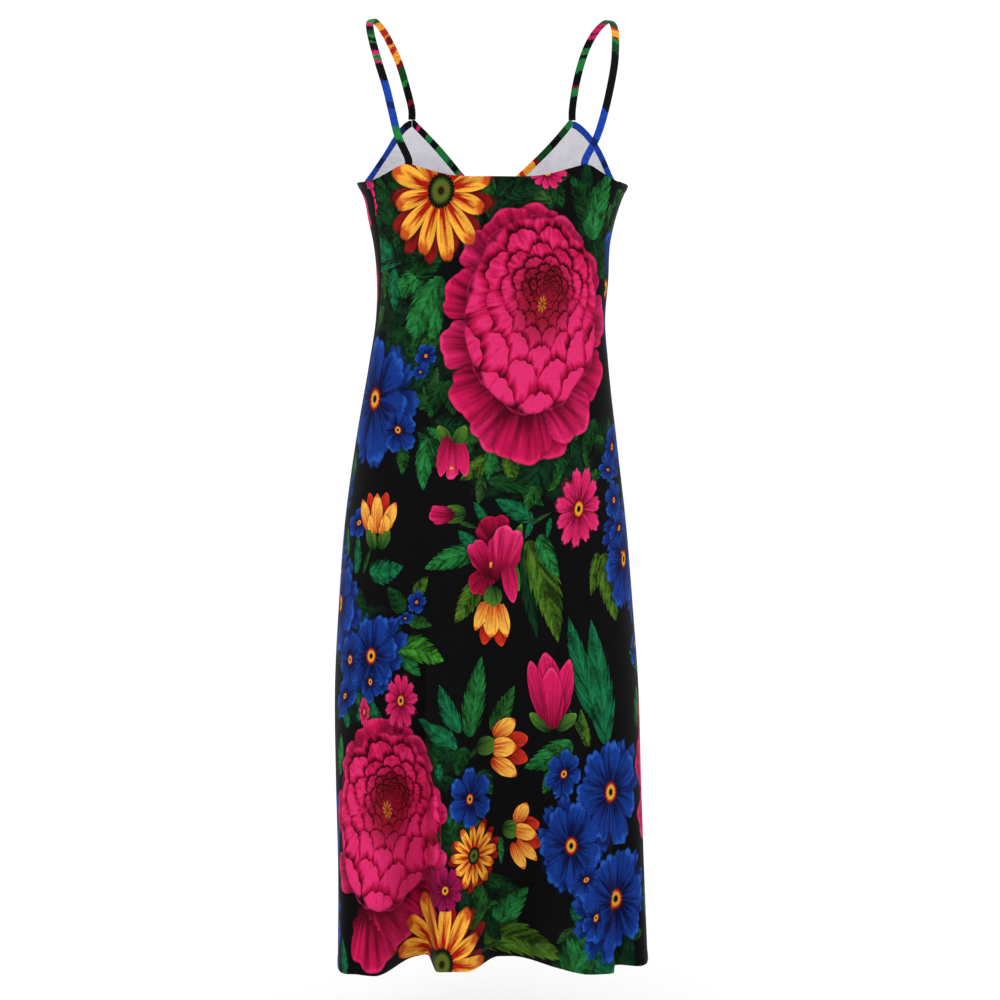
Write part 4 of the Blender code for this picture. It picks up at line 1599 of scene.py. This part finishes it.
@dataclass
class Panel:
    """One panel of printed jersey, a thin shell with its wrong side and turned edges."""

    face: Face
    form: DressForm
    creases: tuple[Crease, ...]
    print: Print
    columns: int
    edge_rows: int
    level_rows: int
    cut: tuple[float, float]
    cut_area: float
    body_drop: float = 0.250
    turned: float = 0.009
    turned_start: float = 0.7
    turned_swell: float = 0.0006
    crease_fade: float = 0.35
    seam_reach: float = 0.00017
    seam_dip: float = 0.0004

    @property
    def node(self) -> str:
        """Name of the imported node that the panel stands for."""
        return self.face.value + "_panel"

    def shares(self) -> np.ndarray:
        """Place the columns.

        Returns:
            Even shares of the section's length, the nearest of them moved to the peaks
            or to the apexes and armhole corners.
        """
        form = self.form
        even = np.linspace(0.0, 1.0, self.columns)
        marks = [(form.peak_across, form.peak_reach)]
        if self.face is Face.FRONT:
            marks = [(form.corner_across, form.armhole_drop), (form.apex_across, form.apex_drop)]
        keys = [form.share_at(self.face, across, drop) for across, drop in marks]
        keys = keys + [0.5] + [1.0 - key for key in keys]
        for key in keys:
            even[int(np.argmin(np.abs(even - key)))] = key
        return even

    def grid(self) -> tuple[np.ndarray, np.ndarray]:
        """Lay out the panel's outer face.

        Returns:
            Points, and the place across the printed cloth, in rows from the top edge
            to the hem.
        """
        shares = self.shares()
        top = self.form.back_top(shares) if self.face is Face.BACK else self.form.front_top(shares)
        levels = np.linspace(self.body_drop, HEM_DROP, self.level_rows)
        rows = [
            self.form.cloth(self.face, shares, top + (levels[0] - top) * step / self.edge_rows)
            for step in range(self.edge_rows)
        ]
        rows += [self.form.cloth(self.face, shares, np.full(len(shares), d)) for d in levels]
        points = np.array([row.points for row in rows])
        for edge, beside in ((0, 1), (-1, -2)):
            points[:, edge] += unit(points[:, edge] - points[:, beside]) * self.seam_reach
        return points, np.array([row.print_across for row in rows])

    def outward(self, points: np.ndarray) -> np.ndarray:
        """Find the direction out of the cloth.

        Args:
            points: The grid of the outer face.

        Returns:
            A direction at each point.
        """
        out = unit(np.cross(np.gradient(points, axis=1), np.gradient(points, axis=0)))
        middle = out[out.shape[0] // 2, out.shape[1] // 2, 1]
        wanted = 1.0 if self.face is Face.BACK else -1.0
        return out if middle * wanted > 0 else -out

    def relief(self, across: np.ndarray, drop: np.ndarray, top: np.ndarray) -> np.ndarray:
        """Shape the creases and turned edges of the cloth.

        Args:
            across: Place across the printed cloth at each grid point.
            drop: Level of each grid point.
            top: Level of the panel's top edge at each column.

        Returns:
            How far each point stands out from the plain form.
        """
        out = np.zeros(across.shape)
        for crease in self.creases:
            run = np.array([crease.to_across - crease.across, crease.to_drop - crease.drop])
            length = float(np.hypot(*run))
            along = ((across - crease.across) * run[0] + (drop - crease.drop) * run[1]) / length**2
            off = ((across - crease.across) * run[1] - (drop - crease.drop) * run[0]) / length
            fade = smoothstep(0.0, self.crease_fade, along)
            fade = fade * smoothstep(0.0, self.crease_fade, 1.0 - along)
            out -= crease.depth * fade * np.exp(-((off / crease.half_width) ** 2))
        edges = [HEM_DROP - drop]
        if self.face is Face.BACK:
            edges.append(drop - top[None, :])
        for edge in edges:
            flat = smoothstep(self.turned * self.turned_start, self.turned, edge)
            out += self.turned_swell * (1.0 - flat)
        out[:, [0, -1]] -= self.seam_dip
        return out

    def build(self, finishes: Sequence[bpy.types.Material]) -> bpy.types.Object:
        """Build the shell.

        Args:
            finishes: The printed side and the wrong side.

        Returns:
            The panel.
        """
        points, across = self.grid()
        drop = -points[..., 2]
        out = self.outward(points)
        outer = points + out * self.relief(across, drop, drop[0])[..., None]
        inner = outer - self.outward(outer) * CLOTH
        rows, columns = across.shape
        index = np.arange(rows * columns).reshape(rows, columns)
        quads = np.stack(
            [index[:-1, :-1], index[1:, :-1], index[1:, 1:], index[:-1, 1:]], axis=-1
        ).reshape(-1, 4)
        if self.face is Face.BACK:
            quads = quads[:, ::-1]
        loop = np.concatenate([index[:, 0], index[-1, 1:], index[-2::-1, -1], index[0, -2:0:-1]])
        after = np.roll(loop, -1)
        shift = rows * columns
        rim = np.stack([loop, loop + shift, after + shift, after], axis=-1)
        if self.face is Face.FRONT:
            rim = rim[:, ::-1]
        faces = np.concatenate([quads, quads[:, ::-1] + shift, rim])
        mesh = bpy.data.meshes.new(self.face.value + "_cloth")
        vertices = np.concatenate([outer.reshape(-1, 3), inner.reshape(-1, 3)])
        mesh.from_pydata(vertices.tolist(), [], faces.tolist())
        thing = new_object(self.face.value + "_cloth", mesh)
        for finish in finishes:
            mesh.materials.append(finish)
        slots = np.zeros(len(faces), np.int32)
        slots[len(quads) : 2 * len(quads)] = 1
        mesh.polygons.foreach_set("material_index", slots)
        right = -across if self.face is Face.BACK else across
        places = np.stack([right.ravel(), drop.ravel()], axis=-1)
        self.print.lay(mesh, faces, np.concatenate([places, places]), len(self.face.value))
        mesh.shade_smooth()
        mesh.set_sharp_from_angle(angle=SOFT_EDGE_ANGLE)
        return thing


OUTLINE_STEPS = 20
OUTLINE_SQUARE = 0.55
OUTLINE_SOFT = 0.75


def rounded_outline(width: float, thick: float) -> list[tuple[float, float]]:
    """Draw the outline of a flat strip with soft edges.

    Args:
        width: Its width.
        thick: Its thickness.

    Returns:
        Points as (across the strip, out of the strip).
    """
    outline = []
    for step in range(OUTLINE_STEPS):
        angle = 2 * math.pi * step / OUTLINE_STEPS
        cosine, sine = math.cos(angle), math.sin(angle)
        across = math.copysign(abs(cosine) ** OUTLINE_SQUARE, cosine) * width / 2
        outline.append((across, math.copysign(abs(sine) ** OUTLINE_SOFT, sine) * thick / 2))
    return outline


class Cut(NamedTuple):
    """A plane that trims a strip: a point on it and the direction that is cut away."""

    point: tuple[float, float, float]
    away: tuple[float, float, float]


def sweep(
    name: str,
    middle: np.ndarray,
    across: np.ndarray,
    outward: np.ndarray,
    outline: Sequence[tuple[float, float]],
    finish: bpy.types.Material,
    cuts: Sequence[Cut] = (),
) -> bpy.types.Object:
    """Sweep a closed strip along its middle line.

    Args:
        name: The object's name.
        middle: Points of the middle line.
        across: The strip's width direction at each point.
        outward: The strip's face direction at each point.
        outline: Points of its outline.
        finish: Its material.
        cuts: The planes that trim it.

    Returns:
        The strip, with "run" on its points: the share of its length, then across and out.
    """
    made = bmesh.new()
    run_layer = made.verts.layers.float_vector.new("run")
    length = run_length(*middle.T)
    length /= length[-1]
    rings = []
    for place, centre, wide, out in zip(length, middle, across, outward):
        ring = []
        for u, v in outline:
            vertex = made.verts.new(Vector(centre + wide * u + out * v))
            vertex[run_layer] = Vector((place, u, v))
            ring.append(vertex)
        rings.append(ring)
    count = len(outline)
    for before, after in zip(rings, rings[1:]):
        for index in range(count):
            other = (index + 1) % count
            made.faces.new((before[index], before[other], after[other], after[index]))
    made.faces.new(rings[0][::-1])
    made.faces.new(rings[-1])
    for cut in cuts:
        everything = made.verts[:] + made.edges[:] + made.faces[:]
        cutting = bmesh.ops.bisect_plane(
            made,
            geom=everything,
            dist=1e-6,
            plane_co=Vector(cut.point),
            plane_no=Vector(cut.away),
            clear_outer=True,
        )
        rim = [e for e in cutting["geom_cut"] if isinstance(e, bmesh.types.BMEdge)]
        bmesh.ops.edgeloop_fill(made, edges=rim)
    bmesh.ops.recalc_face_normals(made, faces=made.faces[:])
    mesh = bpy.data.meshes.new(name)
    made.to_mesh(mesh)
    made.free()
    mesh.materials.append(finish)
    mesh.shade_smooth()
    mesh.set_sharp_from_angle(angle=STRIP_EDGE_ANGLE)
    return new_object(name, mesh)


@dataclass
class EdgeBand:
    """A bound edge of the front: half of the neck, or one armhole."""

    side: Side
    form: DressForm
    is_neck: bool
    width: float = 0.0095
    overrun: float = 0.012
    feel_drop: float = 0.004

    @property
    def node(self) -> str:
        """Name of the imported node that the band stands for."""
        return ("neck_band_" if self.is_neck else "armhole_band_") + self.side.word

    def route(self) -> np.ndarray:
        """Trace the edge that the band follows.

        Returns:
            Shares of the front panel's length.
        """
        apex = self.form.share_at(Face.FRONT, self.form.apex_across, self.form.apex_drop)
        shares = np.linspace(apex, 0.5, 46) if self.is_neck else np.linspace(0.0, apex, 40)
        return shares if self.side is Side.LEFT else 1.0 - shares

    def cuts(self) -> list[Cut]:
        """Place the planes that mitre the band at the V and the apex and end it at the seam.

        Returns:
            The planes.
        """
        half_gap, side = SEAM_GAP / 2, self.side.value
        at_apex = self.form.sway(self.form.apex_drop) + side * self.form.apex_across
        tip = Cut((0.0, 0.0, -TIP_DROP), (0.0, 0.0, 1.0))
        if self.is_neck:
            at_v = self.form.sway(self.form.v_drop) + side * half_gap
            return [
                Cut((at_v, 0.0, 0.0), (-side, 0.0, 0.0)),
                Cut((at_apex - side * half_gap, 0.0, 0.0), (side, 0.0, 0.0)),
                tip,
            ]
        end = np.array([0.0 if side > 0 else 1.0])
        seam = self.form.cloth(Face.FRONT, end, [self.form.side_drop]).points[0]
        return [
            Cut((at_apex + side * half_gap, 0.0, 0.0), (-side, 0.0, 0.0)),
            Cut((0.0, float(seam[1]), 0.0), (0.0, 1.0, 0.0)),
            tip,
        ]

    def build(self, finish: bpy.types.Material) -> bpy.types.Object:
        """Build the band.

        Args:
            finish: Its material.

        Returns:
            The band.
        """
        shares = self.route()
        drops = self.form.front_top(shares)
        edge = self.form.cloth(Face.FRONT, shares, drops).points
        below = self.form.cloth(Face.FRONT, shares, drops + self.feel_drop).points
        steps = unit(np.diff(edge, axis=0))
        along = unit(np.vstack([steps[:1], steps[:-1] + steps[1:], steps[-1:]]))
        down = unit(below - edge)
        outward = unit(np.cross(along, down))
        away = edge - [0.0, 0.0, edge[0, 2]]
        outward *= np.sign((outward * away).sum(axis=1))[:, None]
        upward = unit(np.cross(outward, along))
        upward *= -np.sign((upward * down).sum(axis=1))[:, None]
        rise = SEAM_GAP + self.width / 2
        middle = edge + upward * rise - outward * (SOLID_CLOTH / 2)
        before = middle[0] - unit(middle[1] - middle[0]) * self.overrun
        after = middle[-1] + unit(middle[-1] - middle[-2]) * self.overrun
        middle = np.vstack([before, middle, after])
        upward, outward = (np.vstack([d[:1], d, d[-1:]]) for d in (upward, outward))
        outline = rounded_outline(self.width, STRIP_THICK)
        return sweep(self.node + "_binding", middle, upward, outward, outline, finish, self.cuts())


@dataclass
class Strap:
    """A shoulder strap: a turned strip from inside the back, over the shoulder, to the apex."""

    side: Side
    form: DressForm
    width: float = 0.0100
    cut: tuple[float, float] = (0.0110, 0.436)
    tab: float = 0.014
    route_table: tuple[tuple[float, float, float, float], ...] = (
        (0.1281, 0.0860, 0.1590, -0.0045),
        (0.1366, 0.0885, 0.1285, -0.0055),
        (0.1440, 0.0845, 0.0975, -0.0055),
        (0.1521, 0.0710, 0.0653, -0.0040),
        (0.1571, 0.0540, 0.0400, -0.0020),
        (0.1600, 0.0360, 0.0205, -0.0005),
        (0.1600, 0.0180, 0.0065, 0.0008),
        (0.1565, -0.0020, -0.0008, 0.0012),
        (0.1495, -0.0240, 0.0014, 0.0015),
        (0.1411, -0.0440, 0.0104, 0.0015),
        (0.1329, -0.0610, 0.0244, 0.0010),
        (0.1240, -0.0780, 0.0463, -0.0005),
        (0.1160, -0.0920, 0.0765, -0.0020),
    )
    centre: tuple[float, float, float] = (0.125, -0.005, -0.085)
    cloth_room: float = 0.0003
    tab_middle: float = 0.45
    tab_rise: float = 0.004
    foot_rise: float = 0.012
    foot_lean: float = 0.12
    side_lean: float = 0.35
    held_reach: float = 0.030
    fine_points: int = 800
    points: int = 150

    @property
    def node(self) -> str:
        """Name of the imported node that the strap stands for."""
        return "strap_" + self.side.word

    def route(self) -> tuple[np.ndarray, np.ndarray]:
        """Trace the middle line.

        Returns:
            Its control points, and the direction out of the back panel where it is
            sewn in.
        """
        form, side = self.form, self.side.value
        share = form.share_at(Face.BACK, form.peak_across, form.peak_reach)
        share = share if side > 0 else 1.0 - share
        edge = float(form.back_top(np.array([share]))[0])
        inside = SOLID_CLOTH + SEAM_GAP + STRIP_THICK / 2 + self.cloth_room
        facing = form.normal(Face.BACK, share, edge)
        route = []
        for drop in (edge + self.tab, edge + self.tab * self.tab_middle, edge - self.tab_rise):
            place = form.cloth(Face.BACK, np.array([share]), [drop]).points[0]
            route.append(place - facing * inside)
        for across, y, drop, lean in self.route_table:
            route.append(np.array([side * across + lean, y, -drop]))
        foot_share = form.share_at(Face.FRONT, form.apex_across, form.apex_drop)
        foot_share = foot_share if side > 0 else 1.0 - foot_share
        foot = form.cloth(Face.FRONT, np.array([foot_share]), [TIP_DROP]).points[0]
        foot_x = form.sway(form.apex_drop) + side * form.apex_across
        for rise in (self.foot_rise, 0.0):
            height = -TIP_DROP + SEAM_GAP + rise
            depth = foot[1] + SOLID_CLOTH / 2 + rise * self.foot_lean
            route.append(np.array([foot_x, depth, height]))
        return np.array(route), facing

    def middle_line(self, route: np.ndarray) -> np.ndarray:
        """Space points evenly on a smooth curve.

        Args:
            route: Control points.

        Returns:
            The points of the strap's middle line.
        """
        gaps = np.sqrt(np.linalg.norm(np.diff(route, axis=0), axis=1))
        place = np.concatenate([[0.0], np.cumsum(gaps)])
        even = np.linspace(0.0, place[-1], self.fine_points)
        fine = smooth_table(np.column_stack([place, route]), even)
        run = run_length(*fine.T)
        at = np.linspace(0.0, run[-1], self.points)
        return np.column_stack([np.interp(at, run, fine[:, axis]) for axis in range(3)])

    def build(self, finish: bpy.types.Material) -> bpy.types.Object:
        """Build the strap.

        Args:
            finish: Its material.

        Returns:
            The strap.
        """
        route, facing = self.route()
        middle = self.middle_line(route)
        along = unit(np.gradient(middle, axis=0))
        along[-1] = (0.0, 0.0, -1.0)
        outward = middle - np.array([self.side.value * self.centre[0], *self.centre[1:]])
        outward[:, 0] *= self.side_lean
        outward = unit(outward)
        held = 1.0 - smoothstep(0.0, self.held_reach, middle[:, 2] - middle[0, 2])[:, None]
        outward = held * facing + (1.0 - held) * outward
        outward -= (outward * along).sum(axis=1)[:, None] * along
        outward = unit(outward)
        across = unit(np.cross(along, outward))
        outline = rounded_outline(self.width, STRIP_THICK)
        return sweep(self.node + "_strip", middle, across, outward, outline, finish)


@dataclass
class Studio:
    """A plain pale floor, soft light from all round, and the camera of the photograph."""

    floor_drop: float = 1.42
    floor_reach: float = 30.0
    camera_place: tuple[float, float, float] = (0.0935, 2.7, -0.4037)
    camera_aim: tuple[float, float, float] = (-0.0108, 0.0, -0.6363)
    lens: float = 72.3
    film_width: float = 36.0
    far_clip: float = 200.0
    floor_tone: float = 0.95
    floor_roughness: float = 0.9
    room_light: float = 1.06
    lamp_size: float = 2.4
    lamp_aim: tuple[float, float, float] = (0.0, 0.0, -0.6)
    lamps: tuple[tuple[str, tuple[float, float, float], float], ...] = (
        ("back_key", (1.4, 3.0, 0.9), 12.0),
        ("back_fill", (-2.2, 2.4, 0.2), 6.0),
        ("front_key", (-1.4, -3.0, 0.9), 12.0),
        ("front_fill", (2.2, -2.4, 0.2), 6.0),
    )

    def floor(self) -> bpy.types.Object:
        """Lay the floor.

        Returns:
            The floor.
        """
        made = bmesh.new()
        bmesh.ops.create_circle(made, cap_ends=True, segments=96, radius=self.floor_reach)
        mesh = bpy.data.meshes.new("floor")
        made.to_mesh(mesh)
        made.free()
        thing = new_object("floor", mesh)
        thing.location = (0.0, 0.0, -self.floor_drop)
        paint = bpy.data.materials.new("pale_floor")
        paint.use_nodes = True
        shader = paint.node_tree.nodes["Principled BSDF"]
        shader.inputs["Base Color"].default_value = (*(self.floor_tone,) * 3, 1.0)
        shader.inputs["Roughness"].default_value = self.floor_roughness
        mesh.materials.append(paint)
        return thing

    def lights(self) -> None:
        """Hang one large soft light on each side and fill the room with pale light."""
        world = bpy.data.worlds.new("pale_room")
        world.use_nodes = True
        background = world.node_tree.nodes["Background"]
        background.inputs["Color"].default_value = (1, 1, 1, 1)
        background.inputs["Strength"].default_value = self.room_light
        bpy.context.scene.world = world
        bpy.context.scene.view_settings.view_transform = "Standard"
        for name, place, power in self.lamps:
            lamp = bpy.data.lights.new(name, "AREA")
            lamp.shape = "DISK"
            lamp.size = self.lamp_size
            lamp.energy = power
            thing = new_object(name, lamp)
            thing.location = place
            aim = Vector(self.lamp_aim) - Vector(place)
            thing.rotation_euler = aim.to_track_quat("-Z", "Y").to_euler()

    def camera(self) -> None:
        """Set up the camera where the photograph was taken."""
        lens = bpy.data.cameras.new("camera")
        lens.lens = self.lens
        lens.sensor_width = self.film_width
        lens.clip_end = self.far_clip
        thing = new_object("camera", lens)
        thing.location = self.camera_place
        aim = Vector(self.camera_aim) - Vector(self.camera_place)
        thing.rotation_mode = "QUATERNION"
        thing.rotation_quaternion = aim.to_track_quat("-Z", "Y")
        bpy.context.scene.camera = thing


BACK_CREASES = (
    Crease(0.120, 0.300, 0.030, 0.372, 0.011, 0.0022),
    Crease(-0.128, 0.318, -0.040, 0.398, 0.012, 0.0024),
    Crease(0.140, 0.395, 0.052, 0.420, 0.010, 0.0018),
    Crease(-0.145, 0.420, -0.060, 0.452, 0.011, 0.0019),
    Crease(-0.022, 0.520, -0.044, 0.900, 0.012, 0.0026),
    Crease(0.052, 0.560, 0.062, 0.980, 0.013, 0.0024),
    Crease(-0.100, 0.620, -0.118, 1.060, 0.012, 0.0022),
    Crease(0.010, 0.700, 0.016, 1.150, 0.011, 0.0020),
)
FRONT_CREASES = (
    Crease(0.100, 0.322, 0.030, 0.392, 0.012, 0.0022),
    Crease(-0.112, 0.336, -0.030, 0.410, 0.012, 0.0024),
    Crease(0.150, 0.300, 0.120, 0.352, 0.010, 0.0018),
    Crease(-0.158, 0.306, -0.122, 0.362, 0.010, 0.0019),
    Crease(0.018, 0.560, 0.034, 0.960, 0.013, 0.0025),
    Crease(-0.070, 0.600, -0.088, 1.020, 0.012, 0.0022),
    Crease(0.118, 0.640, 0.132, 1.100, 0.012, 0.0022),
    Crease(-0.020, 0.760, -0.012, 1.180, 0.011, 0.0018),
)


# Where the print comes again on the back, in millimetres to the right and down; how the
# front's print, turned over, is shifted; and where that one comes again.
BACK_REPEATS = ((-432.0, 60.0), (432.0, -60.0))
FRONT_SHIFT = (14.0, 96.0)
FRONT_REPEATS = ((-418.0, -240.0), (418.0, 210.0), (30.0, -960.0))


def main() -> None:
    """Build and dress the pieces, and set up the studio."""
    form = DressForm()
    jersey = PrintedJersey()
    printed = jersey.dress()
    wrong = jersey.wrong_side()
    cloth = Print.from_tables()
    panels = (
        Panel(
            face=Face.BACK,
            form=form,
            creases=BACK_CREASES,
            print=cloth.repeated(BACK_REPEATS),
            columns=151,
            edge_rows=12,
            level_rows=272,
            cut=(0.834, 1.060),
            cut_area=0.555,
        ),
        Panel(
            face=Face.FRONT,
            form=form,
            creases=FRONT_CREASES,
            print=cloth.moved(*FRONT_SHIFT, sign=-1).repeated(FRONT_REPEATS),
            columns=163,
            edge_rows=28,
            level_rows=258,
            cut=(0.905, 1.124),
            cut_area=0.657,
        ),
    )
    for panel in panels:
        piece = panel.build((printed, wrong))
        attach(piece, "root")
        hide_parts(panel.node)
        log.info("built %s for %s", piece.name, panel.node)
    for side in Side:
        parts = (
            (EdgeBand(side, form, True), NECK_PATCHES[side]),
            (EdgeBand(side, form, False), ARMHOLE_PATCHES[side]),
            (Strap(side, form), STRAP_PATCHES[side]),
        )
        for part, patches in parts:
            piece = part.build(PrintedBinding(part.node + "_cloth", patches).dress())
            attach(piece, "root")
            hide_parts(part.node)
            log.info("built %s for %s", piece.name, part.node)
    studio = Studio()
    studio.floor()
    studio.lights()
    studio.camera()
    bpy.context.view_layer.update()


if __name__ == "__main__":
    logging.basicConfig(level=logging.INFO, format="%(name)s: %(message)s")
    main()
